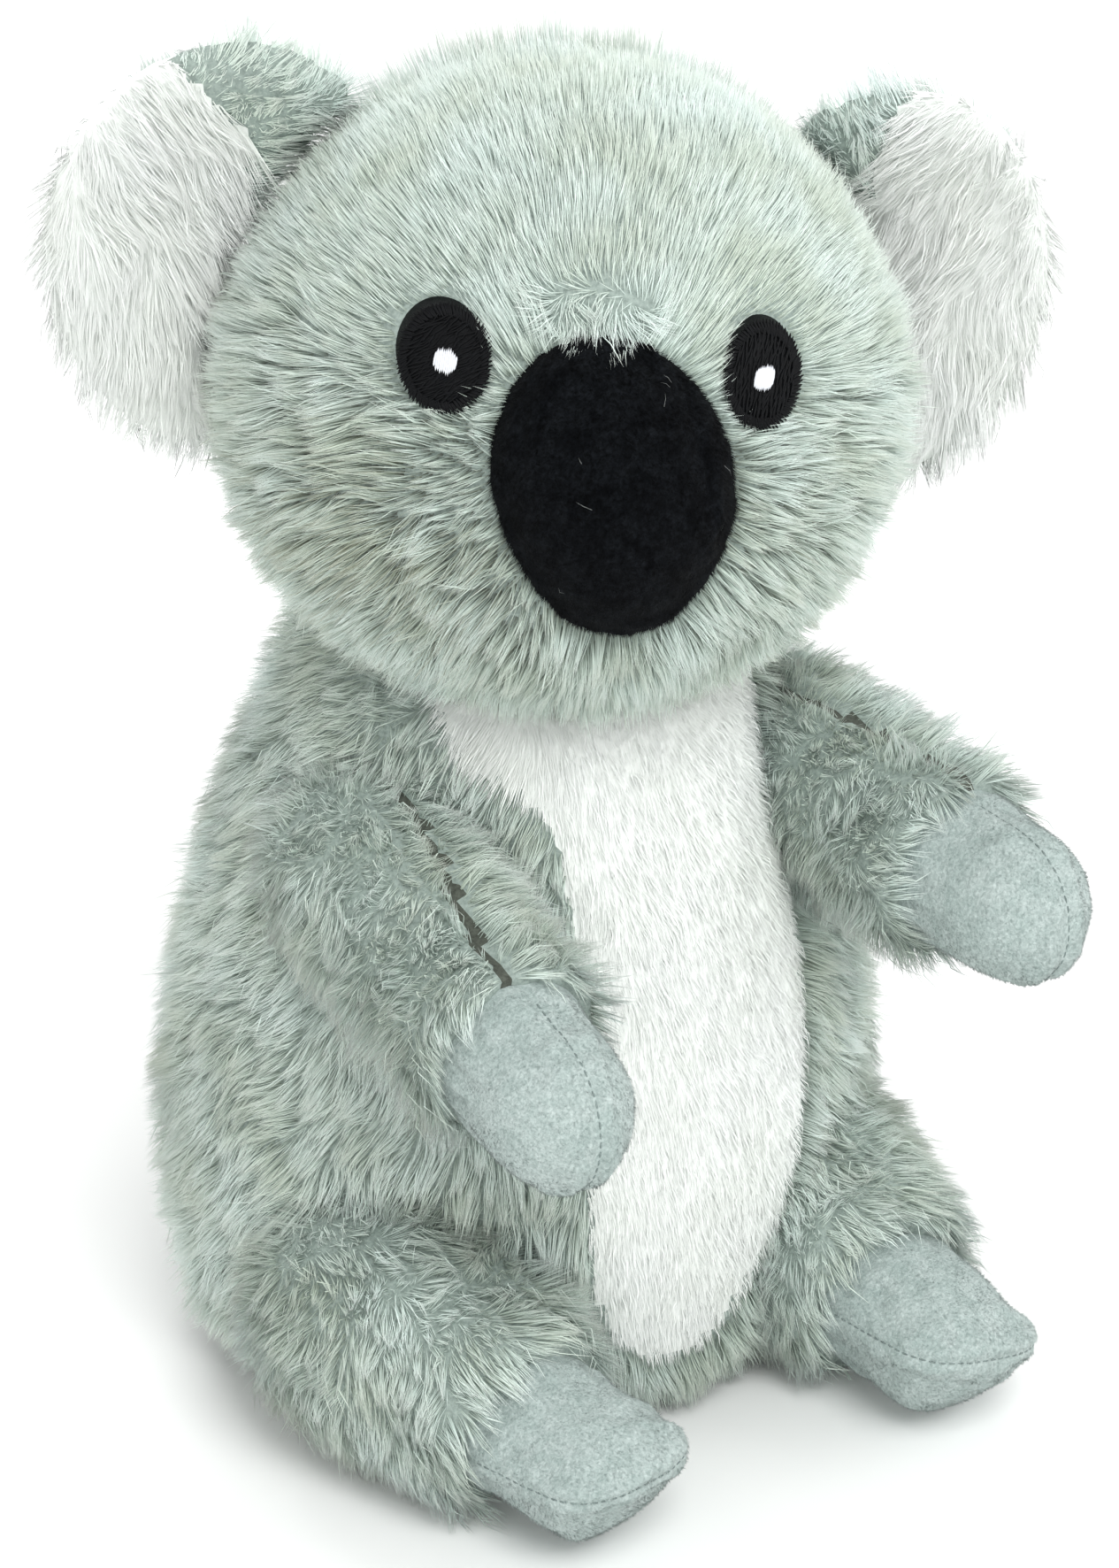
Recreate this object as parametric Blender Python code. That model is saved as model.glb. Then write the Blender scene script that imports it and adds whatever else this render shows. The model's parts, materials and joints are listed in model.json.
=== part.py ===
"""A seated plush koala, built as separate sewn covers, stuffing and trims.

The koala sits on its seat facing -Y, with its own left side towards +X and +Z up.
The origin is the middle of the flat seat, and every size is in metres.
"""

import math

import bmesh
import bpy
from mathutils import Matrix, Vector

# Body: one pear-shaped form from the seat to the neck
BODY_HALF_WIDTH = 0.088
BODY_HALF_DEPTH = 0.075
BODY_HEIGHT = 0.205
BODY_SET_BACK = 0.008
BODY_SIDES = 32
BODY_STEPS = 2
BODY_ROW_SHARES = (
    (0.00, 0.76),
    (0.03, 0.89),
    (0.10, 0.97),
    (0.22, 1.00),
    (0.36, 0.995),
    (0.50, 0.95),
    (0.64, 0.86),
    (0.76, 0.74),
    (0.88, 0.61),
    (1.00, 0.49),
)
SEAT_CUT = 0.0005

# Fabric with the lower part of its pile, and the gaps between sewn pieces
COVER_WALL = 0.0045
FABRIC_WALL = 0.0020
SEAM_GAP = 0.0003
TURN_GAP = 0.0006
CUTTER_OVERRUN = 0.03
INNER_SIDES = 16

# White belly panel: an oval that spreads into a bib under the chin, pulled a little
# to the koala's left. Each row gives a height, the right edge and the left edge.
BELLY_START = 0.016
BELLY_BELOW_TOP = 0.005
BELLY_HALF_WIDTH = 0.045
BELLY_STEPS = 2
BELLY_OUTLINE_SHARES = (
    (0.00, 0.26, 0.04),
    (0.04, 0.45, 0.24),
    (0.12, 0.60, 0.52),
    (0.24, 0.63, 0.70),
    (0.36, 0.62, 0.79),
    (0.50, 0.59, 0.83),
    (0.60, 0.55, 0.80),
    (0.68, 0.56, 0.79),
    (0.76, 0.69, 0.87),
    (0.83, 0.94, 0.97),
    (0.90, 1.00, 1.00),
    (1.00, 1.00, 1.00),
)
BELLY_TOP = BODY_HEIGHT - BELLY_BELOW_TOP

# Head: fuller at the cheeks than at the crown, round where it sits on the neck
HEAD_HALF_WIDTH = 0.0758
HEAD_HALF_DEPTH = 0.0680
HEAD_HEIGHT = 0.1460
HEAD_FORWARD = 0.005
HEAD_SIDES = 32
HEAD_ROWS = 16
CHEEK_FULLNESS = 2.15
CROWN_FULLNESS = 2.0
ROUND_SHARE = 0.14
FACE_SHARE = 0.58
NECK_SINK = 0.037
NECK_HEIGHT = BODY_HEIGHT - NECK_SINK
NECK_SET_FORWARD = 0.004
NECK_SET_ASIDE = 0.007
NECK_HOLE_RADIUS = 0.030
HEAD_TURN = math.radians(-25)
HEAD_TILT = math.radians(7)

# Nose: a padded cap of short pile
NOSE_HALF_WIDTH = 0.0260
NOSE_HALF_HEIGHT = 0.0331
NOSE_BULGE = 0.0165
NOSE_RISE = -0.0012
NOSE_WIDEST_SHARE = 0.53
NOSE_TAPER = 1.5
NOSE_SET_ASIDE = -0.0039
NOSE_LEAN = 0.0082
NOSE_SIDES = 20
NOSE_ROWS = 10

# Eyes: satin-stitched ovals with a stitched highlight, sized as seen from straight ahead
EYE_SPACING = 0.0671
EYE_SET_ASIDE = -0.0034
EYE_RISE = 0.0236
EYE_RISE_DIFFERENCE = 0.0015
EYE_HALF_WIDTH = 0.0088
EYE_HALF_HEIGHT = 0.0108
EYE_TILT = math.radians(18)
EYE_THICKNESS = 0.0012
HIGHLIGHT_HALF_WIDTH = 0.0027
HIGHLIGHT_HALF_HEIGHT = 0.0029
HIGHLIGHT_THICKNESS = 0.0006
PATCH_GAP = 0.0004
PATCH_SIDES = 20
PATCH_RINGS = 2

# Ears: a white front and a grey back, sewn edge to edge and cupped forward
EAR_CENTER_REACH = 0.074
EAR_HALF_WIDTH = 0.043
EAR_HALF_HEIGHT = 0.051
EAR_FRONT_PADDING = 0.0085
EAR_BACK_PADDING = 0.0075
EAR_FULLNESS = 0.35
EAR_RIM_SHARE = 0.97
EAR_CUP = 0.012
EAR_RISE = 0.018
EAR_SET_BACK = 0.022
EAR_HINGE_DEPTH = 0.006
EAR_ROWS = 12
EAR_PROFILE_STEPS = 5
EAR_CLEARING_STEPS = 5
EAR_FLOP = math.radians(15)

# Arms: furry sleeves with short-pile paws
SHOULDER_SPREAD = 0.0560
SHOULDER_FORWARD = 0.016
SHOULDER_BELOW_TOP = 0.068
SHOULDER_HEIGHT = BODY_HEIGHT - SHOULDER_BELOW_TOP
ARM_ROOT_RADIUS = 0.0270
ARM_CUFF_RADIUS = 0.0230
ARM_LENGTH = 0.0670
PAW_HALF_WIDTH = 0.0185
PAW_HALF_HEIGHT = 0.0200
PAW_LENGTH = 0.0370
ARM_SPLAY = math.radians(3)
RIGHT_ARM_DROP = math.radians(15)
LEFT_ARM_DROP = math.radians(4)
ARM_LOWEST_DROP = math.radians(19)
ARM_HIGHEST_RISE = math.radians(12)

# Legs: furry haunches with short-pile feet
HIP_SPREAD = 0.0540
HIP_SET_ASIDE = 0.0070
HIP_FORWARD = 0.028
HIP_HEIGHT = 0.0335
LEG_ROOT_RADIUS = 0.0348
LEG_CUFF_RADIUS = 0.0240
LEG_LENGTH = 0.0500
FOOT_HALF_WIDTH = 0.0215
FOOT_HALF_HEIGHT = 0.0190
FOOT_LENGTH = 0.0370
LEG_DROP = math.radians(12.6)
RIGHT_TOE_IN = math.radians(10)
LEFT_TOE_IN = math.radians(0)
LEG_SWING_IN = math.radians(8)
LEG_SWING_OUT = math.radians(16)

LIMB_SIDES = 16
LIMB_ROOT_ROWS = 4
LIMB_SHAFT_ROWS = 3
LIMB_TIP_ROWS = 4
SWEEP_SIDES = 12
SWEEP_STEPS = 2
UPRIGHT = math.radians(90)


def clear_scene():
    """Remove whatever the file opened with."""
    for item in list(bpy.data.objects):
        bpy.data.objects.remove(item, do_unlink=True)


def fabric(name, color, roughness):
    """A cloth colour: one material for each kind of fabric."""
    material = bpy.data.materials.new(name)
    material.use_nodes = True
    shader = material.node_tree.nodes["Principled BSDF"]
    shader.inputs["Base Color"].default_value = (*color, 1)
    shader.inputs["Roughness"].default_value = roughness
    shader.inputs["Metallic"].default_value = 0
    material.diffuse_color = (*color, 1)
    return material


def add_object(name, mesh, material=None, parent=None):
    """Put a mesh in the scene under its parent, smooth where it is round."""
    item = bpy.data.objects.new(name, mesh)
    bpy.context.scene.collection.objects.link(item)
    if material:
        mesh.materials.append(material)
    mesh.shade_smooth()
    mesh.set_sharp_from_angle(angle=math.radians(40))
    item.parent = parent
    return item


def pivot(name, location, rotation, parent=None):
    """An empty that carries a moving piece, with its origin on the joint."""
    empty = bpy.data.objects.new(name, None)
    bpy.context.scene.collection.objects.link(empty)
    empty.location = location
    empty.rotation_euler = rotation
    empty.parent = parent
    return empty


def stack(name, rings, grow=0.0):
    """Skin a stack of equal rings into one closed mesh.

    The rings run from low to high. A ring whose points all coincide is a pole.
    grow moves the surface along its normals.
    """
    bm = bmesh.new()
    loops = []
    for ring in rings:
        spread = max((Vector(point) - Vector(ring[0])).length for point in ring)
        if spread == 0:
            loops.append([bm.verts.new(ring[0])])
        else:
            loops.append([bm.verts.new(point) for point in ring])
    for lower, upper in zip(loops, loops[1:]):
        count = max(len(lower), len(upper))
        for i in range(count):
            j = (i + 1) % count
            corners = [lower[i % len(lower)], lower[j % len(lower)]]
            corners += [upper[j % len(upper)], upper[i % len(upper)]]
            bm.faces.new(list(dict.fromkeys(corners)))
    if len(loops[0]) > 1:
        bm.faces.new(reversed(loops[0]))
    if len(loops[-1]) > 1:
        bm.faces.new(loops[-1])
    bmesh.ops.recalc_face_normals(bm, faces=list(bm.faces))
    bm.normal_update()
    if grow:
        shifts = [vert.normal * grow for vert in bm.verts]
        for vert, shift in zip(bm.verts, shifts):
            vert.co += shift
    mesh = bpy.data.meshes.new(name)
    bm.to_mesh(mesh)
    bm.free()
    return mesh


def ellipse(center, half_width, half_depth, sides):
    """Points of a level ellipse round a centre."""
    x, y, z = center
    points = []
    for i in range(sides):
        angle = math.tau * i / sides
        points.append((x + half_width * math.cos(angle), y + half_depth * math.sin(angle), z))
    return points


def smooth_rows(rows, steps):
    """Points on a smooth curve through the rows, with steps to each interval."""
    padded = [rows[0], *rows, rows[-1]]
    result = []
    for k in range(len(rows) - 1):
        before, start, end, after = padded[k:k + 4]
        for step in range(steps):
            t = step / steps
            row = []
            for a, b, c, d in zip(before, start, end, after):
                bend = t * (c - a + t * (2 * a - 5 * b + 4 * c - d + t * (3 * b - a - 3 * c + d)))
                row.append(b + bend / 2)
            result.append(tuple(row))
    result.append(rows[-1])
    return result


def smoothstep(low, high, value):
    """0 below low, 1 above high and a smooth rise between them."""
    t = min(max((value - low) / (high - low), 0), 1)
    return t * t * (3 - 2 * t)


def carve(item, cutter, operation="DIFFERENCE"):
    """Cut one shape with another, or keep only what they share."""
    modifier = item.modifiers.new(f"{operation}_{cutter.name}", "BOOLEAN")
    modifier.operation = operation
    modifier.object = cutter
    modifier.solver = "EXACT"


def as_cutter(item):
    """A shape that only cuts others."""
    item.hide_render = True
    item.display_type = "WIRE"
    return item


def cut_level(mesh, height):
    """Slice off what lies below a level plane and close the cut flat."""
    bm = bmesh.new()
    bm.from_mesh(mesh)
    parts = list(bm.verts) + list(bm.edges) + list(bm.faces)
    bmesh.ops.bisect_plane(
        bm, geom=parts, plane_co=(0, 0, height), plane_no=(0, 0, 1), clear_inner=True
    )
    rim = [edge for edge in bm.edges if edge.is_boundary]
    bmesh.ops.contextual_create(bm, geom=rim)
    bmesh.ops.recalc_face_normals(bm, faces=list(bm.faces))
    bm.to_mesh(mesh)
    bm.free()


def body_rings(sides, steps):
    """Level rings of the pear-shaped body, from just below the seat up."""
    rings = []
    for height_share, spread_share in smooth_rows(BODY_ROW_SHARES, steps):
        z = height_share * (BODY_HEIGHT + SEAT_CUT) - SEAT_CUT
        size = (BODY_HALF_WIDTH * spread_share, BODY_HALF_DEPTH * spread_share)
        rings.append(ellipse((0, BODY_SET_BACK, z), *size, sides))
    return rings


def head_profile(share):
    """Half width, half depth and forward shift of the head at a share of its height."""
    fullness = CHEEK_FULLNESS if share < 0.5 else CROWN_FULLNESS
    spread = max(1 - abs(2 * share - 1) ** fullness, 0) ** (1 / fullness)
    face = smoothstep(ROUND_SHARE, FACE_SHARE, share)
    half_width = HEAD_HALF_WIDTH * spread
    half_depth = spread * (HEAD_HALF_WIDTH + face * (HEAD_HALF_DEPTH - HEAD_HALF_WIDTH))
    return half_width, half_depth, -HEAD_FORWARD * face


def head_rings(sides, rows):
    """Level rings of the head, closer together towards its poles."""
    rings = []
    for k in range(rows + 1):
        share = (1 - math.cos(math.pi * k / rows)) / 2
        half_width, half_depth, shift = head_profile(share)
        if k in (0, rows):
            half_width = half_depth = 0
        rings.append(ellipse((0, shift, share * HEAD_HEIGHT), half_width, half_depth, sides))
    return rings


def face_depth(x, z):
    """The y of the head's front surface at a point of the face."""
    half_width, half_depth, shift = head_profile(z / HEAD_HEIGHT)
    return shift - half_depth * math.sqrt(max(1 - (x / half_width) ** 2, 0))


def cheek_reach(y, z):
    """The x of the head's side surface at a height and a depth, or 0 past its poles."""
    half_width, half_depth, shift = head_profile(z / HEAD_HEIGHT)
    if half_depth == 0:
        return 0
    return half_width * math.sqrt(max(1 - ((y - shift) / half_depth) ** 2, 0))


def limb_rings(root, cuff, length, sides, start=None):
    """Rings of a sleeve: a round root about the pivot, tapering to its cuff."""
    rings = []
    if start is None:
        for k in range(LIMB_ROOT_ROWS):
            angle = UPRIGHT * k / LIMB_ROOT_ROWS
            radius = root * math.sin(angle)
            rings.append(ellipse((0, 0, -root * math.cos(angle)), radius, radius, sides))
        start = 0
    for k in range(LIMB_SHAFT_ROWS + 1):
        share = k / LIMB_SHAFT_ROWS
        radius = root + (cuff - root) * smoothstep(0, 1, share) * share
        rings.append(ellipse((0, 0, start + (length - start) * share), radius, radius, sides))
    return rings


def tip_rings(half_width, half_height, base, length, sides):
    """Rings of a paw or a foot: straight out of the cuff, then a round end."""
    rings = [ellipse((0, 0, base), half_width, half_height, sides)]
    straight = length - half_height
    for k in range(LIMB_TIP_ROWS + 1):
        angle = UPRIGHT * k / LIMB_TIP_ROWS
        width = half_width * math.cos(angle) if k < LIMB_TIP_ROWS else 0
        height = half_height * math.cos(angle) if k < LIMB_TIP_ROWS else 0
        z = base + straight + half_height * math.sin(angle)
        rings.append(ellipse((0, 0, z), width, height, sides))
    return rings


def sweep_hull(name, forms, matrices):
    """The convex space that a moving form passes through."""
    bm = bmesh.new()
    for matrix in matrices:
        for form in forms:
            for vert in form.vertices:
                bm.verts.new(matrix @ vert.co)
    found = bmesh.ops.convex_hull(bm, input=list(bm.verts))
    loose = [item for item in found["geom_interior"] if isinstance(item, bmesh.types.BMVert)]
    loose += [item for item in found["geom_unused"] if isinstance(item, bmesh.types.BMVert)]
    bmesh.ops.delete(bm, geom=list(dict.fromkeys(loose)), context="VERTS")
    mesh = bpy.data.meshes.new(name)
    bm.to_mesh(mesh)
    bm.free()
    return mesh


def block(name, low, high):
    """A box between two corners."""
    bm = bmesh.new()
    bmesh.ops.create_cube(bm, size=1)
    for vert in bm.verts:
        vert.co = Vector(b if c > 0 else a for a, b, c in zip(low, high, vert.co))
    mesh = bpy.data.meshes.new(name)
    bm.to_mesh(mesh)
    bm.free()
    return mesh


def belly_outline_mesh(name, grow):
    """An upright prism with the belly panel's outline, reaching out of the front."""
    right, left = [], []
    for height_share, right_share, left_share in smooth_rows(BELLY_OUTLINE_SHARES, BELLY_STEPS):
        z = BELLY_START + (BELLY_TOP - BELLY_START) * height_share - grow * (1 - height_share)
        right.append((-right_share * BELLY_HALF_WIDTH - grow, z))
        left.append((left_share * BELLY_HALF_WIDTH + grow, z))
    outline = left + right[::-1]
    bm = bmesh.new()
    front = -BODY_HALF_DEPTH - CUTTER_OVERRUN
    near = [bm.verts.new((x, front, z)) for x, z in outline]
    far = [bm.verts.new((x, BODY_SET_BACK - COVER_WALL, z)) for x, z in outline]
    bm.faces.new(near)
    bm.faces.new(reversed(far))
    for i in range(len(outline)):
        j = (i + 1) % len(outline)
        bm.faces.new((near[j], near[i], far[i], far[j]))
    bmesh.ops.recalc_face_normals(bm, faces=list(bm.faces))
    mesh = bpy.data.meshes.new(name)
    bm.to_mesh(mesh)
    bm.free()
    return mesh


def build_body(cloths, cutters):
    """The grey cover, the white belly panel and the stuffing of the body."""
    inner = as_cutter(add_object("body_hollow", stack(
        "body_hollow", body_rings(INNER_SIDES, 1), -COVER_WALL)))
    window = as_cutter(add_object("belly_window", belly_outline_mesh("belly_window", SEAM_GAP)))
    outline = as_cutter(add_object("belly_outline", belly_outline_mesh("belly_outline", 0)))
    pieces = (
        ("body_cover", "grey_fur", "DIFFERENCE", window),
        ("belly_panel", "white_fur", "INTERSECT", outline),
    )
    for name, cloth, operation, shape in pieces:
        mesh = stack(name, body_rings(BODY_SIDES, BODY_STEPS))
        cut_level(mesh, 0)
        piece = add_object(name, mesh, cloths[cloth])
        carve(piece, inner)
        carve(piece, shape, operation)
        for cutter in cutters:
            carve(piece, cutter)
    mesh = stack("body_stuffing", body_rings(INNER_SIDES, 1), -COVER_WALL - SEAM_GAP)
    stuffing = add_object("body_stuffing", mesh, cloths["stuffing"])
    for cutter in cutters:
        carve(stuffing, cutter)


def build_head(cloths, neck):
    """The face and back covers of the head, split where the ears are sewn in."""
    inner = as_cutter(add_object("head_hollow", stack(
        "head_hollow", head_rings(INNER_SIDES, HEAD_ROWS // 2), -COVER_WALL), parent=neck))
    hole_low = ellipse((0, 0, -CUTTER_OVERRUN), NECK_HOLE_RADIUS, NECK_HOLE_RADIUS, INNER_SIDES)
    hole_high = ellipse((0, 0, CUTTER_OVERRUN), NECK_HOLE_RADIUS, NECK_HOLE_RADIUS, INNER_SIDES)
    hole = as_cutter(add_object("neck_hole", stack("neck_hole", (hole_low, hole_high)), parent=neck))
    reach = HEAD_HALF_WIDTH + CUTTER_OVERRUN
    halves = (
        ("face_cover", EAR_SET_BACK, reach),
        ("head_back_cover", -reach, EAR_SET_BACK + SEAM_GAP),
    )
    for name, front, back in halves:
        low = (-reach, front, -CUTTER_OVERRUN)
        high = (reach, back, HEAD_HEIGHT + CUTTER_OVERRUN)
        away = as_cutter(add_object(f"{name}_away", block(f"{name}_away", low, high), parent=neck))
        cover = add_object(
            name, stack(name, head_rings(HEAD_SIDES, HEAD_ROWS)), cloths["grey_fur"], neck
        )
        carve(cover, inner)
        carve(cover, hole)
        carve(cover, away)
    mesh = stack(
        "head_stuffing", head_rings(INNER_SIDES, HEAD_ROWS // 2), -COVER_WALL - SEAM_GAP
    )
    add_object("head_stuffing", mesh, cloths["stuffing"], neck)


def nose_mesh(name, inset):
    """The bulge of the nose: its lower end is narrow and set to the koala's left."""
    middle = HEAD_HEIGHT / 2 + NOSE_RISE
    rings = []
    for k in range(NOSE_ROWS + 1):
        angle = math.pi * k / NOSE_ROWS
        share = (1 - math.cos(angle)) / 2
        if share < NOSE_WIDEST_SHARE:
            aside = 1 - share / NOSE_WIDEST_SHARE
            roundness = NOSE_TAPER
        else:
            aside = (share - NOSE_WIDEST_SHARE) / (1 - NOSE_WIDEST_SHARE)
            roundness = 2
        inner = 0 < k < NOSE_ROWS
        spread = math.sqrt(1 - aside ** 2) if inner else 0
        z = middle + (NOSE_HALF_HEIGHT - inset) * (2 * share - 1)
        width = (NOSE_HALF_WIDTH - inset) * math.sqrt(1 - aside ** roundness) if inner else 0
        depth = (NOSE_BULGE + COVER_WALL - inset) * spread
        center = (
            NOSE_SET_ASIDE + NOSE_LEAN * (1 - share), face_depth(0, z) + COVER_WALL, z
        )
        rings.append(ellipse(center, width, depth, NOSE_SIDES))
    return stack(name, rings)


def build_nose(cloths, neck):
    """The padded nose: a thin short-pile cap over its own pinch of stuffing."""
    seat = as_cutter(add_object("nose_seat", stack(
        "nose_seat", head_rings(HEAD_SIDES, HEAD_ROWS), SEAM_GAP), parent=neck))
    hollow = as_cutter(add_object(
        "nose_hollow", nose_mesh("nose_hollow", FABRIC_WALL), parent=neck))
    cover = add_object("nose_cover", nose_mesh("nose_cover", 0), cloths["black_velour"], neck)
    carve(cover, hollow)
    carve(cover, seat)
    padding = nose_mesh("nose_stuffing", FABRIC_WALL + SEAM_GAP)
    stuffing = add_object("nose_stuffing", padding, cloths["stuffing"], neck)
    carve(stuffing, seat)


def patch_mesh(name, center, size, tilt, inner, outer):
    """A thin stitched oval that follows the face between two heights above it."""
    bm = bmesh.new()
    layers = []
    for height in (inner, outer):
        layer = []
        for ring in range(PATCH_RINGS + 1):
            share = ring / PATCH_RINGS
            count = PATCH_SIDES if ring else 1
            verts = []
            for i in range(count):
                angle = math.tau * i / PATCH_SIDES
                u = size[0] * share * math.cos(angle)
                v = size[1] * share * math.sin(angle)
                x = center[0] + u * math.cos(tilt) - v * math.sin(tilt)
                z = center[1] + u * math.sin(tilt) + v * math.cos(tilt)
                verts.append(bm.verts.new((x, face_depth(x, z) - height, z)))
            layer.append(verts)
        layers.append(layer)
    for layer in layers:
        for small, large in zip(layer, layer[1:]):
            for i in range(PATCH_SIDES):
                j = (i + 1) % PATCH_SIDES
                corners = [small[i % len(small)], large[i], large[j], small[j % len(small)]]
                bm.faces.new(list(dict.fromkeys(corners)))
    for i in range(PATCH_SIDES):
        j = (i + 1) % PATCH_SIDES
        bm.faces.new((layers[0][-1][i], layers[0][-1][j], layers[1][-1][j], layers[1][-1][i]))
    bmesh.ops.recalc_face_normals(bm, faces=list(bm.faces))
    mesh = bpy.data.meshes.new(name)
    bm.to_mesh(mesh)
    bm.free()
    return mesh


def build_eyes(cloths, neck):
    """The two stitched eyes with their stitched highlights."""
    highlight_start = PATCH_GAP + EYE_THICKNESS + PATCH_GAP
    for side, sign in (("right", -1), ("left", 1)):
        rise = EYE_RISE + sign * EYE_RISE_DIFFERENCE / 2
        center = (EYE_SET_ASIDE + sign * EYE_SPACING / 2, HEAD_HEIGHT / 2 + rise)
        size = (EYE_HALF_WIDTH, EYE_HALF_HEIGHT)
        mesh = patch_mesh(
            f"{side}_eye", center, size, sign * EYE_TILT, PATCH_GAP, PATCH_GAP + EYE_THICKNESS
        )
        add_object(f"{side}_eye", mesh, cloths["black_thread"], neck)
        size = (HIGHLIGHT_HALF_WIDTH, HIGHLIGHT_HALF_HEIGHT)
        end = highlight_start + HIGHLIGHT_THICKNESS
        mesh = patch_mesh(f"{side}_eye_highlight", center, size, 0, highlight_start, end)
        add_object(f"{side}_eye_highlight", mesh, cloths["white_thread"], neck)


def ear_root(y, height):
    """How far out an ear starts, so that it clears the head over its whole flop.

    y is measured from the hinge, and the head is tried at each angle of the flop.
    """
    hinge = cheek_reach(EAR_SET_BACK, HEAD_HEIGHT / 2 + EAR_RISE) - EAR_HINGE_DEPTH
    x = cheek_reach(EAR_SET_BACK + y, height) + TURN_GAP
    for _ in range(EAR_CLEARING_STEPS):
        for turn in (-EAR_FLOP, -EAR_FLOP / 2, 0, EAR_FLOP / 2, EAR_FLOP):
            turned_x = hinge + (x - hinge) * math.cos(turn) - y * math.sin(turn)
            turned_y = (x - hinge) * math.sin(turn) + y * math.cos(turn)
            surface = cheek_reach(EAR_SET_BACK + turned_y, height) + TURN_GAP
            x += max(surface - turned_x, 0)
    return x


def ear_ring(z_share, sign, padding, facing):
    """One level ring of an ear half: its flat seam face, its root and its padded face.

    facing is -1 for the front half and 1 for the back half of the ear.
    """
    height = HEAD_HEIGHT / 2 + EAR_RISE + EAR_HALF_HEIGHT * z_share
    chord = math.sqrt(1 - z_share ** 2)
    cup = -EAR_CUP * max(z_share, 0) ** 2
    seam = facing * SEAM_GAP / 2

    def padded(across):
        bulge = (chord ** 2 * (1 - across ** 2)) ** EAR_FULLNESS
        return seam + facing * padding * bulge

    def across_of(x):
        share = (x - EAR_CENTER_REACH) / (EAR_HALF_WIDTH * chord)
        return min(max(share, -EAR_RIM_SHARE), EAR_RIM_SHARE)

    free = EAR_CENTER_REACH - EAR_HALF_WIDTH * chord
    inner = max(ear_root(seam + cup, height), free)
    start = across_of(max(ear_root(padded(across_of(inner)) + cup, height), free))
    points = [(inner, seam)]
    for k in range(EAR_PROFILE_STEPS + 1):
        share = math.sin(UPRIGHT * k / EAR_PROFILE_STEPS)
        across = start + (EAR_RIM_SHARE - start) * share
        points.append((EAR_CENTER_REACH + EAR_HALF_WIDTH * chord * across, padded(across)))
    points.append((EAR_CENTER_REACH + EAR_HALF_WIDTH * chord, seam))
    return [Vector((sign * x, EAR_SET_BACK + y + cup, height)) for x, y in points]


def build_ears(cloths, neck):
    """Both ears, each on a pivot along the seam that holds it to the head."""
    halves = (
        ("front", "white_fur", EAR_FRONT_PADDING, -1),
        ("back", "grey_fur", EAR_BACK_PADDING, 1),
    )
    for side, sign in (("right", -1), ("left", 1)):
        height = HEAD_HEIGHT / 2 + EAR_RISE
        reach = cheek_reach(EAR_SET_BACK, height) - EAR_HINGE_DEPTH
        place = Vector((sign * reach, EAR_SET_BACK, height))
        hinge = pivot(f"{side}_ear_pivot", place, (0, 0, 0), neck)
        for half, cloth, padding, facing in halves:
            rings = []
            for k in range(EAR_ROWS + 1):
                z_share = -math.cos(math.pi * (k + 0.5) / (EAR_ROWS + 1))
                rings.append([p - place for p in ear_ring(z_share, sign, padding, facing)])
            name = f"{side}_ear_{half}"
            add_object(name, stack(name, rings), cloths[cloth], hinge)


def split_tip(name, half_width, half_height, base, length, cloths, limb, axis, labels):
    """A paw or foot shell in two halves, sewn together along its middle."""
    wide = CUTTER_OVERRUN + length + half_width
    inner = tip_rings(
        half_width - FABRIC_WALL, half_height - FABRIC_WALL, base - CUTTER_OVERRUN,
        length + CUTTER_OVERRUN - FABRIC_WALL, LIMB_SIDES,
    )
    hollow = as_cutter(add_object(f"{name}_hollow", stack(f"{name}_hollow", inner), parent=limb))
    for label, sign in labels:
        low = [-wide, -wide, -wide]
        high = [wide, wide, base + wide]
        if sign > 0:
            high[axis] = SEAM_GAP / 2
        else:
            low[axis] = -SEAM_GAP / 2
        away = as_cutter(add_object(f"{label}_away", block(f"{label}_away", low, high), parent=limb))
        rings = tip_rings(half_width, half_height, base, length, LIMB_SIDES)
        half = add_object(label, stack(label, rings), cloths["short_pile"], limb)
        carve(half, hollow)
        carve(half, away)


def limb_stuffing_rings(root, cuff, length, half_width, half_height, tip_length):
    """One filling for a sleeve and its tip, a seam gap inside both."""
    inset = COVER_WALL + SEAM_GAP
    rings = limb_rings(root - inset, min(cuff - inset, half_width - FABRIC_WALL - SEAM_GAP),
                       length - SEAM_GAP, LIMB_SIDES)
    thin = FABRIC_WALL + SEAM_GAP
    tip = tip_rings(half_width - thin, half_height - thin, length + SEAM_GAP,
                    tip_length - thin - SEAM_GAP, LIMB_SIDES)
    return rings + tip


def build_limb(name, sizes, cloths, limb, axis, labels):
    """A sleeve, its two-part tip and their stuffing, about the limb's pivot."""
    root, cuff, length, half_width, half_height, tip_length = sizes
    inner = limb_rings(root - COVER_WALL, cuff - COVER_WALL, length, LIMB_SIDES)
    inner.append(ellipse((0, 0, length + CUTTER_OVERRUN), cuff - COVER_WALL, cuff - COVER_WALL,
                         LIMB_SIDES))
    hollow = as_cutter(add_object(f"{name}_hollow", stack(f"{name}_hollow", inner), parent=limb))
    sleeve = add_object(f"{name}_sleeve", stack(
        f"{name}_sleeve", limb_rings(root, cuff, length, LIMB_SIDES)), cloths["grey_fur"], limb)
    carve(sleeve, hollow)
    split_tip(f"{name}_tip", half_width, half_height, length + SEAM_GAP, tip_length,
              cloths, limb, axis, labels)
    filling = stack(f"{name}_stuffing", limb_stuffing_rings(*sizes))
    stuffing = add_object(f"{name}_stuffing", filling, cloths["stuffing"], limb)
    return sleeve, stuffing


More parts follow.
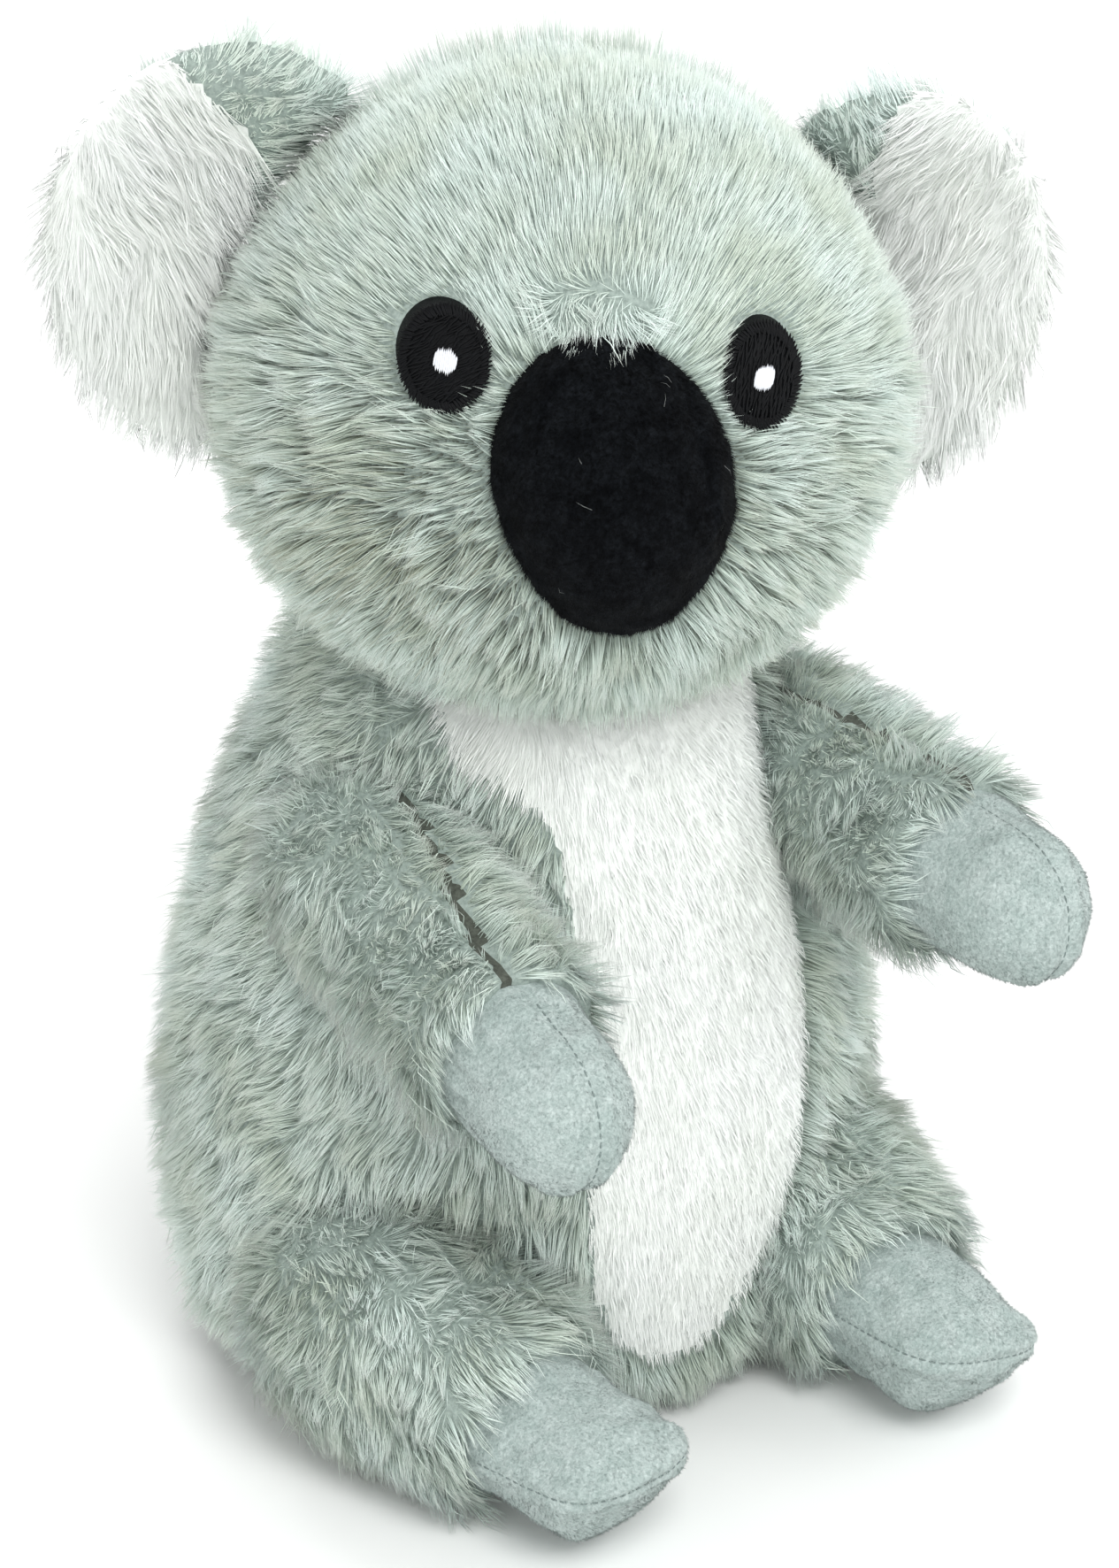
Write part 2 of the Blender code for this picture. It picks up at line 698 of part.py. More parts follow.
def limb_sweep(name, sizes, place, turns):
    """The space that a limb needs in the body over its whole swing."""
    root, cuff, length = sizes[:3]
    corner = 1 / math.cos(math.pi / SWEEP_SIDES)
    sleeve = stack(name, limb_rings(
        (root + TURN_GAP) * corner, (cuff + TURN_GAP) * corner, length, SWEEP_SIDES))
    matrices = [Matrix.Translation(place) @ turn.to_4x4() for turn in turns]
    return as_cutter(add_object(name, sweep_hull(name, (sleeve,), matrices)))


def turn_of(drop, yaw):
    """The rotation that points a limb's own +Z forward, dropped and turned aside."""
    return Matrix.Rotation(yaw, 3, "Z") @ Matrix.Rotation(UPRIGHT + drop, 3, "X")


def swing(low, high):
    """Even steps from one angle to another."""
    return [low + (high - low) * k / SWEEP_STEPS for k in range(SWEEP_STEPS + 1)]


def build_arms(cloths):
    """Both arms, and the spaces in the body that they swing in."""
    sizes = (ARM_ROOT_RADIUS, ARM_CUFF_RADIUS, ARM_LENGTH, PAW_HALF_WIDTH, PAW_HALF_HEIGHT,
             PAW_LENGTH)
    sweeps = []
    for side, sign, drop in (("right", -1, RIGHT_ARM_DROP), ("left", 1, LEFT_ARM_DROP)):
        place = Vector((sign * SHOULDER_SPREAD, -SHOULDER_FORWARD, SHOULDER_HEIGHT))
        yaw = sign * ARM_SPLAY
        shoulder = pivot(f"{side}_shoulder", place, (UPRIGHT + drop, 0, yaw))
        labels = ((f"{side}_paw_outer", sign), (f"{side}_paw_inner", -sign))
        build_limb(f"{side}_arm", sizes, cloths, shoulder, 0, labels)
        turns = [turn_of(angle, yaw) for angle in swing(-ARM_HIGHEST_RISE, ARM_LOWEST_DROP)]
        sweeps.append(limb_sweep(f"{side}_arm_space", sizes, place, turns))
    return sweeps


def build_legs(cloths):
    """Both legs, flat where they lie on the ground, and their spaces in the body."""
    sizes = (LEG_ROOT_RADIUS, LEG_CUFF_RADIUS, LEG_LENGTH, FOOT_HALF_WIDTH, FOOT_HALF_HEIGHT,
             FOOT_LENGTH)
    wide = BODY_HALF_WIDTH + LEG_LENGTH + FOOT_LENGTH + CUTTER_OVERRUN
    ground = as_cutter(add_object(
        "ground", block("ground", (-wide, -wide, -wide), (wide, wide, 0))))
    sweeps = []
    for side, sign, toe_in in (("right", -1, RIGHT_TOE_IN), ("left", 1, LEFT_TOE_IN)):
        place = Vector((sign * HIP_SPREAD - HIP_SET_ASIDE, -HIP_FORWARD, HIP_HEIGHT))
        yaw = -sign * toe_in
        hip = pivot(f"{side}_hip", place, (UPRIGHT + LEG_DROP, 0, yaw))
        labels = ((f"{side}_foot_top", 1), (f"{side}_foot_sole", -1))
        sleeve, stuffing = build_limb(f"{side}_leg", sizes, cloths, hip, 1, labels)
        for piece in (sleeve, bpy.data.objects[f"{side}_foot_sole"]):
            carve(piece, ground)
        turns = [
            turn_of(LEG_DROP, yaw + sign * angle) for angle in swing(-LEG_SWING_IN, LEG_SWING_OUT)
        ]
        sweeps.append(limb_sweep(f"{side}_leg_space", sizes, place, turns))
    return sweeps


def build_koala():
    """Sew the whole koala together."""
    clear_scene()
    cloths = {
        "grey_fur": fabric("grey_long_pile", (0.42, 0.45, 0.43), 0.95),
        "white_fur": fabric("white_long_pile", (0.85, 0.88, 0.86), 0.95),
        "short_pile": fabric("blue_grey_short_pile", (0.42, 0.47, 0.47), 0.9),
        "black_velour": fabric("black_velour", (0.01, 0.01, 0.012), 0.9),
        "black_thread": fabric("black_embroidery", (0.015, 0.015, 0.018), 0.6),
        "white_thread": fabric("white_embroidery", (0.9, 0.91, 0.93), 0.6),
        "stuffing": fabric("polyester_stuffing", (0.8, 0.8, 0.78), 1.0),
    }
    place = (-NECK_SET_ASIDE, -NECK_SET_FORWARD, NECK_HEIGHT)
    neck = pivot("neck_pivot", place, (0, HEAD_TILT, HEAD_TURN))
    bowl = as_cutter(add_object("neck_bowl", stack(
        "neck_bowl", head_rings(HEAD_SIDES, HEAD_ROWS), TURN_GAP), parent=neck))
    sweeps = build_arms(cloths) + build_legs(cloths)
    build_body(cloths, [bowl, *sweeps])
    build_head(cloths, neck)
    build_nose(cloths, neck)
    build_eyes(cloths, neck)
    build_ears(cloths, neck)
    bpy.context.view_layer.update()


build_koala()
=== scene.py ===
# %% [markdown]
# # A seated plush koala
# The real toy is sewn from four fabrics: long grey pile, long white pile, short
# blue-grey pile and black velour. Fluffy fabric is mostly hair, so a smooth shell
# with a furry picture on it never looks right. This lesson pads a soft skin where
# each fabric's backing lies and then grows the pile on it as real, tapered tufts.

import json
import math

import bpy
import numpy as np
from mathutils import Matrix, Vector


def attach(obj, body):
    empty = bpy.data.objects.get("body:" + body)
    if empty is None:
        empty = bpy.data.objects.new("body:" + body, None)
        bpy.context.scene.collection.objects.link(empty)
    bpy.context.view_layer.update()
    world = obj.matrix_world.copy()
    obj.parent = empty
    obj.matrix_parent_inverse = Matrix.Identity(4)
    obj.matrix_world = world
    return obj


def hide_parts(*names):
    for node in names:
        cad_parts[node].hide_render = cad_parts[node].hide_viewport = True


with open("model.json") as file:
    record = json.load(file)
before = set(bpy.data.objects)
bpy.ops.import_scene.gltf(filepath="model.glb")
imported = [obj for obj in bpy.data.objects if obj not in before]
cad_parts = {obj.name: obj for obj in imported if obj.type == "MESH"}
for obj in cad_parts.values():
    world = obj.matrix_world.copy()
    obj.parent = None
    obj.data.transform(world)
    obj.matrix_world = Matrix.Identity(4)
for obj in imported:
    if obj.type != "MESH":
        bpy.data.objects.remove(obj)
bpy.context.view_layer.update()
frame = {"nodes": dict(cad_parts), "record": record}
nodes = frame["nodes"]
scene = bpy.context.scene
rng = np.random.default_rng(7)

# %% [markdown]
# ## Camera
# The photograph was taken from the koala's right, a little above. The camera comes
# first, so that each later step can be compared with the photograph. It looks at
# the toy from 34 degrees to the side and 25 degrees up, 1.2 m away.

# %% Camera at the photograph's angle
azimuth = math.radians(-34)
elevation = math.radians(25)
distance = 1.2
right = Vector((math.cos(azimuth), math.sin(azimuth), 0))
back = Vector((math.sin(azimuth) * math.cos(elevation),
               -math.cos(azimuth) * math.cos(elevation), math.sin(elevation)))
up = back.cross(right)
# The point looked at, in metres from the seat's centre along the camera's own axes
TARGET_RIGHT, TARGET_UP, TARGET_BACK = 0.00514, 0.1244, 0.0677
target = right * TARGET_RIGHT + up * TARGET_UP + back * TARGET_BACK
SENSOR_HEIGHT = 36
PIXELS_PER_METRE, PHOTO_HEIGHT = 4960, 1772
lens = bpy.data.cameras.new("camera")
lens.sensor_fit = "VERTICAL"
lens.sensor_height = SENSOR_HEIGHT
lens.lens = SENSOR_HEIGHT * PIXELS_PER_METRE * distance / PHOTO_HEIGHT
camera = bpy.data.objects.new("camera", lens)
scene.collection.objects.link(camera)
camera.location = target + back * distance
camera.rotation_mode = "QUATERNION"
camera.rotation_quaternion = back.to_track_quat("Z", "Y")
scene.camera = camera
print("lens mm:", round(lens.lens, 1))

# %% [markdown]
# ## Colours and material helpers
# Colours are chosen on screen as sRGB hex values, and Blender works in linear
# light, so one function converts them. A second one adds a shader node, and a third
# starts a material with the few values that are the same all over the fabric.

# %% Colour and node helpers
def linear(hex_color):
    """An sRGB hex colour as linear RGBA."""
    parts = [int(hex_color[k:k + 2], 16) / 255 for k in (1, 3, 5)]
    return tuple(c / 12.92 if c <= 0.04045 else ((c + 0.055) / 1.055) ** 2.4
                 for c in parts) + (1,)


def node(tree, kind, links=(), **settings):
    """Add a node, set its properties and sockets, and link sockets into it."""
    made = tree.nodes.new(kind)
    for name, value in settings.items():
        if name in made.inputs:
            made.inputs[name].default_value = value
        else:
            setattr(made, name, value)
    for socket, source in dict(links).items():
        tree.links.new(source, made.inputs[socket])
    return made


def new_material(name, roughness, sheen=0.0, specular=0.5):
    """A material with its Principled shader ready to be linked."""
    material = bpy.data.materials.new(name)
    material.use_nodes = True
    shader = material.node_tree.nodes["Principled BSDF"]
    shader.inputs["Roughness"].default_value = roughness
    shader.inputs["Sheen Weight"].default_value = sheen
    shader.inputs["Specular IOR Level"].default_value = specular
    return material, material.node_tree, shader


def ramp(tree, factor, *stops):
    """A colour ramp read at factor, from (position, hex colour) stops."""
    made = node(tree, "ShaderNodeValToRGB", {"Fac": factor})
    elements = made.color_ramp.elements
    while len(elements) < len(stops):
        elements.new(0.5)
    for element, (position, color) in zip(elements, stops):
        element.position = position
        element.color = linear(color)
    return made.outputs["Color"]


# A mix node has a socket of each name for each type; these are the colour's
MIX_FACTOR, MIX_FIRST, MIX_SECOND, MIX_RESULT = 0, 6, 7, 2


def multiply(tree, first, second):
    """One colour multiplied by another."""
    made = node(tree, "ShaderNodeMix", {MIX_FIRST: first, MIX_SECOND: second},
                data_type="RGBA", blend_type="MULTIPLY")
    made.inputs[MIX_FACTOR].default_value = 1.0
    return made.outputs[MIX_RESULT]


# %% [markdown]
# ## Pile materials
# Polyester plush pile is translucent fibre, dyed before weaving. The roots sit in
# their own shade and look darker and browner, and the tips catch the light. Each
# tuft carries two numbers in its UV map: u is its own shade, v runs from root to tip.
# Broad patches 20 mm across are a little browner, where the pile has been stroked
# against its nap and more of the roots show.

# %% Long pile
STROKED_PATCH = 0.020


def pile_material(name, along, strands, patches, roughness=0.8, sheen=0.12):
    """Long plush pile: colours along a tuft, between tufts and over broad patches."""
    material, tree, shader = new_material(name, roughness, sheen, 0.3)
    uv = node(tree, "ShaderNodeUVMap", uv_map="OFBake")
    split = node(tree, "ShaderNodeSeparateXYZ", {"Vector": uv.outputs["UV"]})
    place = node(tree, "ShaderNodeTexCoord")
    noise = node(tree, "ShaderNodeTexNoise", {"Vector": place.outputs["Object"]},
                 Scale=1 / STROKED_PATCH, Detail=2.0)
    color = ramp(tree, split.outputs["Y"], *along)
    color = multiply(tree, color, ramp(tree, split.outputs["X"], *strands))
    color = multiply(tree, color, ramp(tree, noise.outputs["Fac"], *patches))
    tree.links.new(color, shader.inputs["Base Color"])
    return material


grey_pile = pile_material(
    "long_grey_plush_pile",
    ((0.0, "#5A5B52"), (0.3, "#ABBAB3"), (0.6, "#E2F2ED"), (1.0, "#F6FFFD")),
    ((0.0, "#BDB9AC"), (0.3, "#ECEDE8"), (1.0, "#FFFFFF")),
    ((0.35, "#FFFFFF"), (0.7, "#EFEEE6")))
white_pile = pile_material(
    "long_white_plush_pile",
    ((0.0, "#F3F8F4"), (0.3, "#FAFFFB"), (1.0, "#FCFFFD")),
    ((0.0, "#F3F5F2"), (0.4, "#FFFFFF")),
    ((0.35, "#FFFFFF"), (0.7, "#FCFDFA")))

# %% Backing under the long pile
# Patterns on a fabric are scaled by how many of their grains lie in a metre
STREAKS_PER_METRE = 900.0


def backing_material(name, dark, light):
    """Knitted backing seen between tufts: streaks as fine as the fibres."""
    material, tree, shader = new_material(name, 0.9, 0.1)
    place = node(tree, "ShaderNodeTexCoord")
    noise = node(tree, "ShaderNodeTexNoise", {"Vector": place.outputs["Object"]},
                 Scale=STREAKS_PER_METRE, Detail=3.0, Roughness=0.7)
    color = ramp(tree, noise.outputs["Fac"], (0.3, dark), (0.7, light))
    tree.links.new(color, shader.inputs["Base Color"])
    return material


grey_backing = backing_material("knitted_backing_grey", "#7C8983", "#A6B4AD")
white_backing = backing_material("knitted_backing_white", "#EEF3EE", "#F8FBF8")
# Painted shade: the backing along an arm's parted seam is darker than the rest, for the shade
# in that narrow valley
painted_seam_shade_backing = backing_material("knitted_backing_dark_at_seam", "#33372F", "#5A5F56")
print("pile materials:", grey_pile.name, white_pile.name)

# %% [markdown]
# ## Short pile, velour, thread and filling
# The paws are brushed short plush: fibres of about 1 mm that lie in soft streaks,
# with lighter and darker smears where a hand has stroked them. The nose is velour,
# dense and nearly black, because its cut ends soak up the light. The eyes are
# polyester embroidery thread, which is the only fabric here with a gloss.

# %% Short fabrics and thread
def cloth_material(name, roughness, sheen, specular, fine, smear, bump):
    """A short fabric: fine and smear are each (grains per metre, dark, light)."""
    material, tree, shader = new_material(name, roughness, sheen, specular)
    place = node(tree, "ShaderNodeTexCoord")
    grain = node(tree, "ShaderNodeTexNoise", {"Vector": place.outputs["Object"]},
                 Scale=fine[0], Detail=4.0, Roughness=0.65, Distortion=0.6)
    broad = node(tree, "ShaderNodeTexNoise", {"Vector": place.outputs["Object"]},
                 Scale=smear[0], Detail=3.0, Distortion=0.8)
    color = multiply(tree, ramp(tree, grain.outputs["Fac"], (0.3, fine[1]), (0.7, fine[2])),
                     ramp(tree, broad.outputs["Fac"], (0.35, smear[1]), (0.65, smear[2])))
    raised = node(tree, "ShaderNodeBump", {"Height": grain.outputs["Fac"]},
                  Strength=bump, Distance=0.0004)
    tree.links.new(color, shader.inputs["Base Color"])
    tree.links.new(raised.outputs["Normal"], shader.inputs["Normal"])
    return material


short_plush = cloth_material(
    "brushed_short_blue_grey_plush", roughness=0.9, sheen=0.15, specular=0.2,
    fine=(1300.0, "#93A19E", "#C6D2CF"), smear=(160.0, "#EBEFEE", "#FFFFFF"), bump=0.5)
# The velour's fine grain runs from black to a bluish grey: partly the fibres' own uneven tone,
# partly painted sheen of their cut ends
velour = cloth_material(
    "black_cotton_velour", roughness=1.0, sheen=0.02, specular=0.08,
    fine=(1100.0, "#010202", "#191C20"), smear=(220.0, "#9A9DA2", "#FFFFFF"), bump=0.5)
black_thread = cloth_material(
    "black_polyester_thread", roughness=0.55, sheen=0.0, specular=0.14,
    fine=(2500.0, "#040506", "#0E1013"), smear=(300.0, "#D0D0D4", "#FFFFFF"), bump=0.2)
white_thread = cloth_material(
    "white_polyester_thread", roughness=0.45, sheen=0.0, specular=0.4,
    fine=(2500.0, "#DDE1E6", "#EFF1F4"), smear=(300.0, "#F2F2F5", "#FFFFFF"), bump=0.2)
filling = cloth_material(
    "loose_polyester_filling", roughness=0.95, sheen=0.1, specular=0.2,
    fine=(700.0, "#D9D9D5", "#F1F1EE"), smear=(120.0, "#F0F0EE", "#FFFFFF"), bump=0.6)
lint_fibre = cloth_material(
    "pale_lint_fibre", roughness=0.7, sheen=0.0, specular=0.3,
    fine=(900.0, "#8E9492", "#C9CECC"), smear=(200.0, "#EEEEEE", "#FFFFFF"), bump=0.1)
print("short fabrics:", short_plush.name, velour.name)

# %% [markdown]
# ## Padded skins
# The backing of each fabric is a bag blown tight by stuffing. It could be sculpted,
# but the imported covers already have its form: a copy of them is closed over its
# openings, rebuilt with even faces, and drawn in by the height of the pile, so that
# the tufts end where the real ones do. A short cloth simulation with air pressure
# then swells the bag, held where a seam or the table holds the real one.

# %% Mesh helpers
def only(item):
    """Select one object and make it active."""
    bpy.ops.object.select_all(action="DESELECT")
    item.select_set(True)
    bpy.context.view_layer.objects.active = item


def apply_modifier(item, kind, **settings):
    """Add a modifier and apply it at once."""
    modifier = item.modifiers.new(kind.lower(), kind)
    for name, value in settings.items():
        setattr(modifier, name, value)
    only(item)
    bpy.ops.object.modifier_apply(modifier=modifier.name)


def coords(item):
    """Places of a mesh's vertices, one row each."""
    co = np.empty(len(item.data.vertices) * 3)
    item.data.vertices.foreach_get("co", co)
    return co.reshape(-1, 3)


def set_coords(item, co):
    """Move a mesh's vertices to new places."""
    item.data.vertices.foreach_set("co", co.ravel())
    item.data.update()


def vertex_normals(item):
    """Outward direction at each vertex."""
    normals = np.empty(len(item.data.vertices) * 3)
    item.data.vertices.foreach_get("normal", normals)
    return normals.reshape(-1, 3)


def unit(v):
    """Directions brought to length 1."""
    return v / np.maximum(np.linalg.norm(v, axis=-1, keepdims=True), 1e-9)


def smoothstep(low, high, value):
    """0 on the side of low, 1 on the side of high, and a soft rise between."""
    t = np.clip((value - low) / (high - low), 0, 1)
    return t * t * (3 - 2 * t)


WAVES = 6


def ripple(p, wavelength, seed):
    """Smooth pseudo-random value at each point, mostly between -1 and 1."""
    local = np.random.default_rng(seed)
    total = np.zeros(len(p))
    for _ in range(WAVES):
        direction = unit(local.normal(size=3))
        scale = math.tau / (wavelength * local.uniform(0.7, 1.4))
        total += np.sin(p @ direction * scale + local.uniform(0, math.tau))
    return total / WAVES * 1.8


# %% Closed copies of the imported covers
COARSE_VOXEL, FINE_VOXEL = 0.004, 0.0018


def closed_copy(name, labels, voxel, hull=True, lengthen=None):
    """A closed form round packed covers, with faces of the size of voxel.

    lengthen is a shift that the form is also drawn out by.
    """
    bpy.ops.object.select_all(action="DESELECT")
    copies = []
    shifts = [(0, 0, 0)] if lengthen is None else [(0, 0, 0), lengthen]
    for label in labels:
        for shift in shifts:
            mesh = nodes[label].data.copy()
            mesh.transform(Matrix.Translation(shift))
            copy = bpy.data.objects.new(name, mesh)
            scene.collection.objects.link(copy)
            copy.select_set(True)
            copies.append(copy)
    bpy.context.view_layer.objects.active = copies[0]
    if len(copies) > 1:
        bpy.ops.object.join()
    form = bpy.context.view_layer.objects.active
    form.name = name
    form.data.materials.clear()
    bpy.ops.object.mode_set(mode="EDIT")
    bpy.ops.mesh.select_all(action="SELECT")
    bpy.ops.mesh.remove_doubles(threshold=0.00001)
    if hull:
        bpy.ops.mesh.convex_hull()
    bpy.ops.object.mode_set(mode="OBJECT")
    apply_modifier(form, "REMESH", mode="VOXEL", voxel_size=voxel, adaptivity=0)
    return form


# %% Swell a skin with air pressure
AIR_PRESSURE = 10.0
SWELL_FRAMES = 20
FABRIC_STIFFNESS = 8


def inflate(item, growth, cap, held):
    """Blow a closed skin up by at most cap, and keep the vertices in held where they are.

    growth is how much larger the fabric is cut than the form it starts on.
    """
    start = coords(item)
    group = item.vertex_groups.new(name="held")
    group.add([int(k) for k in np.flatnonzero(held)], 1.0, "REPLACE")
    cloth = item.modifiers.new("cloth", "CLOTH")
    cloth.settings.use_pressure = True
    cloth.settings.uniform_pressure_force = AIR_PRESSURE
    cloth.settings.effector_weights.gravity = 0
    cloth.settings.vertex_group_mass = "held"
    cloth.settings.shrink_min = -growth
    cloth.settings.shrink_max = -growth
    cloth.settings.mass = 0.1
    for kind in ("tension", "compression", "shear"):
        setattr(cloth.settings, f"{kind}_stiffness", FABRIC_STIFFNESS)
    cloth.settings.bending_stiffness = 0.2
    cloth.point_cache.frame_start = 1
    cloth.point_cache.frame_end = SWELL_FRAMES
    for step in range(1, SWELL_FRAMES + 1):
        scene.frame_set(step)
    only(item)
    bpy.ops.object.modifier_apply(modifier=cloth.name)
    scene.frame_set(1)
    item.vertex_groups.clear()
    move = coords(item) - start
    size = np.linalg.norm(move, axis=1, keepdims=True)
    set_coords(item, start + move * np.minimum(1, cap / np.maximum(size, 1e-9)))
    return float(np.minimum(size, cap).mean())


# %% The head's own frame
neck = np.array((-0.007, -0.004, 0.168))
neck_x = np.array((0.899552, -0.419468, -0.121869))
neck_y = np.array((0.422618, 0.906308, 0.0))
neck_z = np.array((0.110451, -0.051504, 0.992546))
neck_axes = np.stack((neck_x, neck_y, neck_z))


def head_space(p):
    """Points in the head's own frame: x to its left, y back, z up from the neck."""
    return (p - neck) @ neck_axes.T


def from_head(v):
    """Directions of the head's frame in the koala's."""
    return v @ neck_axes


# What a measure across a form gives on the form's other side
FAR = 9.0

# Each limb: pivot, droop and turn of its axis in degrees, and length of its sleeve
limb_places = {
    "right_arm": ((-0.056, -0.016, 0.137), 15.0, -3.0, 0.067),
    "left_arm": ((0.056, -0.016, 0.137), 4.0, 3.0, 0.067),
    "right_leg": ((-0.061, -0.028, 0.0335), 12.6, 10.0, 0.050),
    "left_leg": ((0.047, -0.028, 0.0335), 12.6, 0.0, 0.050),
}
limb_frames = {}
for key, (place, drop, yaw, reach) in limb_places.items():
    d, y = math.radians(drop), math.radians(yaw)
    level = np.array((math.cos(y), math.sin(y), 0))
    ahead = np.array((math.sin(y), -math.cos(y), 0))
    along = ahead * math.cos(d) + np.array((0, 0, -math.sin(d)))
    upright = ahead * math.sin(d) + np.array((0, 0, math.cos(d)))
    limb_frames[key] = (np.array(place), np.stack((level, upright, along)), reach)


def limb_space(key, p):
    """Points in a limb's frame: across, upwards and along it from its pivot."""
    place, axes, _ = limb_frames[key]
    return (p - place) @ axes.T


def seam_offset(key, p):
    """Distance across a sleeve from the seam along its upper side, which bends inwards."""
    q = limb_space(key, p)
    bend = np.interp(q[:, 2], (0.011, 0.046, 0.075), (0.0042, -0.0022, -0.0035))
    offset = q[:, 0] - (bend if key.startswith("right") else -bend)
    return np.where(q[:, 1] > 0, offset, FAR)


print("right arm axis:", limb_frames["right_arm"][1][2].round(3))

# %% Make the skins
def finish_skin(item, depth, cap, held, growth=0.03):
    """Draw a skin in, a little deeper than it ends, and swell it back."""
    set_coords(item, coords(item) - vertex_normals(item) * (depth + cap * 0.6)[:, None])
    moved = inflate(item, growth, cap, held)
    apply_modifier(item, "SMOOTH", factor=0.4, iterations=2)
    only(item)
    bpy.ops.object.shade_smooth()
    print(f"{item.name}: {len(item.data.polygons)} faces, swelled {moved * 1000:.2f} mm")


def even(item, depth):
    """The same depth at every vertex of a skin."""
    return np.full(len(item.data.vertices), depth)


skins = {}
body = closed_copy("body_skin", ["body_cover", "belly_panel"], COARSE_VOXEL)
apply_modifier(body, "SMOOTH", factor=0.5, iterations=4)
p = coords(body)
# The belly's pile is shorter, so the skin under it is drawn in less
belly_rise = 0.0032 * smoothstep(-0.006, 0.004, 0.034 - np.abs(p[:, 0])) * (p[:, 1] < 0)
finish_skin(body, even(body, 0.0042) - belly_rise, cap=0.0015,
            held=(p[:, 2] < 0.003) | (p[:, 2] > 0.190))
skins["body"] = body

head = closed_copy("head_skin", ["face_cover", "head_back_cover"], COARSE_VOXEL)
apply_modifier(head, "SMOOTH", factor=0.5, iterations=4)
q = head_space(coords(head))
# The muzzle is a low mound round the nose
from_nose = np.hypot(q[:, 0], q[:, 2] - 0.066)
mound = 0.0025 * (1 - smoothstep(0.030, 0.050, from_nose)) * (q[:, 1] < 0)
finish_skin(head, even(head, 0.0033) - mound, cap=0.0015, held=q[:, 2] < 0.006)
skins["head"] = head

# %% Skins of the ears and sleeves
EAR_VOXEL, SLEEVE_VOXEL = 0.0025, 0.003
SEWN_EAR_REACH = 0.052
for side in ("right", "left"):
    ear = closed_copy(f"{side}_ear_skin", [f"{side}_ear_front", f"{side}_ear_back"],
                      EAR_VOXEL, hull=False)
    apply_modifier(ear, "SMOOTH", factor=0.5, iterations=3)
    inner = np.abs(head_space(coords(ear))[:, 0]) < SEWN_EAR_REACH
    finish_skin(ear, even(ear, 0.0016), cap=0.0008, held=inner)
    skins[f"{side}_ear"] = ear
    for limb in ("arm", "leg"):
        key = f"{side}_{limb}"
        sleeve = closed_copy(f"{key}_skin", [f"{key}_sleeve"], SLEEVE_VOXEL)
        apply_modifier(sleeve, "SMOOTH", factor=0.5, iterations=3)
        along = limb_space(key, coords(sleeve))[:, 2]
        reach = limb_frames[key][2]
        depth = 0.0040 - 0.0026 * smoothstep(reach - 0.022, reach - 0.006, along)
        depth += 0.0022 * np.exp(-(seam_offset(key, coords(sleeve)) / 0.0022) ** 2)
        finish_skin(sleeve, depth, cap=0.0010, held=along > reach - 0.003)
        skins[key] = sleeve

# %% [markdown]
# ## One tuft of fibres
# A tuft stands for a few fibres that cling together. It is drawn coarser than a
# fibre, because a real one of 0.04 mm is thinner than a pixel. Most tufts are plain
# three-sided cones. A longer one is cut at half its height as well, so that it can
# bend. Both are modelled once, and all the others are copies of these two.

# %% Model the two tufts
def model_tuft(name, bent):
    """Corner points and faces of one tuft, 1 high and 1 in radius."""
    bpy.ops.object.select_all(action="DESELECT")
    bpy.ops.mesh.primitive_cone_add(vertices=3, radius1=1, radius2=0, depth=1,
                                    location=(0, 0, 0.5))
    tuft = bpy.context.object
    tuft.name = name
    bpy.ops.object.transform_apply(location=True, rotation=False, scale=False)
    if bent:
        bpy.ops.object.mode_set(mode="EDIT")
        bpy.ops.mesh.select_all(action="SELECT")
        bpy.ops.mesh.bisect(plane_co=(0, 0, 0.5), plane_no=(0, 0, 1))
        bpy.ops.transform.resize(value=(1.7, 1.7, 1), center_override=(0, 0, 0.5))
        bpy.ops.object.mode_set(mode="OBJECT")
    points = coords(tuft)
    faces = [tuple(face.vertices) for face in tuft.data.polygons]
    bpy.data.objects.remove(tuft)
    print(name, "points", len(points), "faces", len(faces))
    return points, faces


straight_tuft = model_tuft("straight_tuft", False)
bent_tuft = model_tuft("bent_tuft", True)

# %% Copy a small model many times into one mesh
def copies_mesh(name, model, places, normals, uv, material):
    """One object from copies of a model: places and normals are (copies, points, 3)."""
    points, faces = model
    count, per = places.shape[:2]
    sizes = np.array([len(face) for face in faces])
    corners = np.concatenate([np.array(face) for face in faces])
    loops = (np.arange(count)[:, None] * per + corners[None]).ravel()
    first = np.concatenate([[0], np.cumsum(sizes)[:-1]])
    starts = (np.arange(count)[:, None] * sizes.sum() + first[None]).ravel()
    mesh = bpy.data.meshes.new(name)
    mesh.vertices.add(count * per)
    mesh.vertices.foreach_set("co", places.astype(np.float32).ravel())
    mesh.loops.add(len(loops))
    mesh.loops.foreach_set("vertex_index", loops.astype(np.int32))
    mesh.polygons.add(len(starts))
    mesh.polygons.foreach_set("loop_start", starts.astype(np.int32))
    mesh.update(calc_edges=True)
    mesh.shade_smooth()
    layer = mesh.uv_layers.new(name="OFBake")
    layer.uv.foreach_set("vector", uv.reshape(-1, 2)[loops].astype(np.float32).ravel())
    if normals is not None:
        mesh.normals_split_custom_set_from_vertices(normals.reshape(-1, 3).astype(np.float32))
    mesh.materials.append(material)
    item = bpy.data.objects.new(name, mesh)
    scene.collection.objects.link(item)
    return item


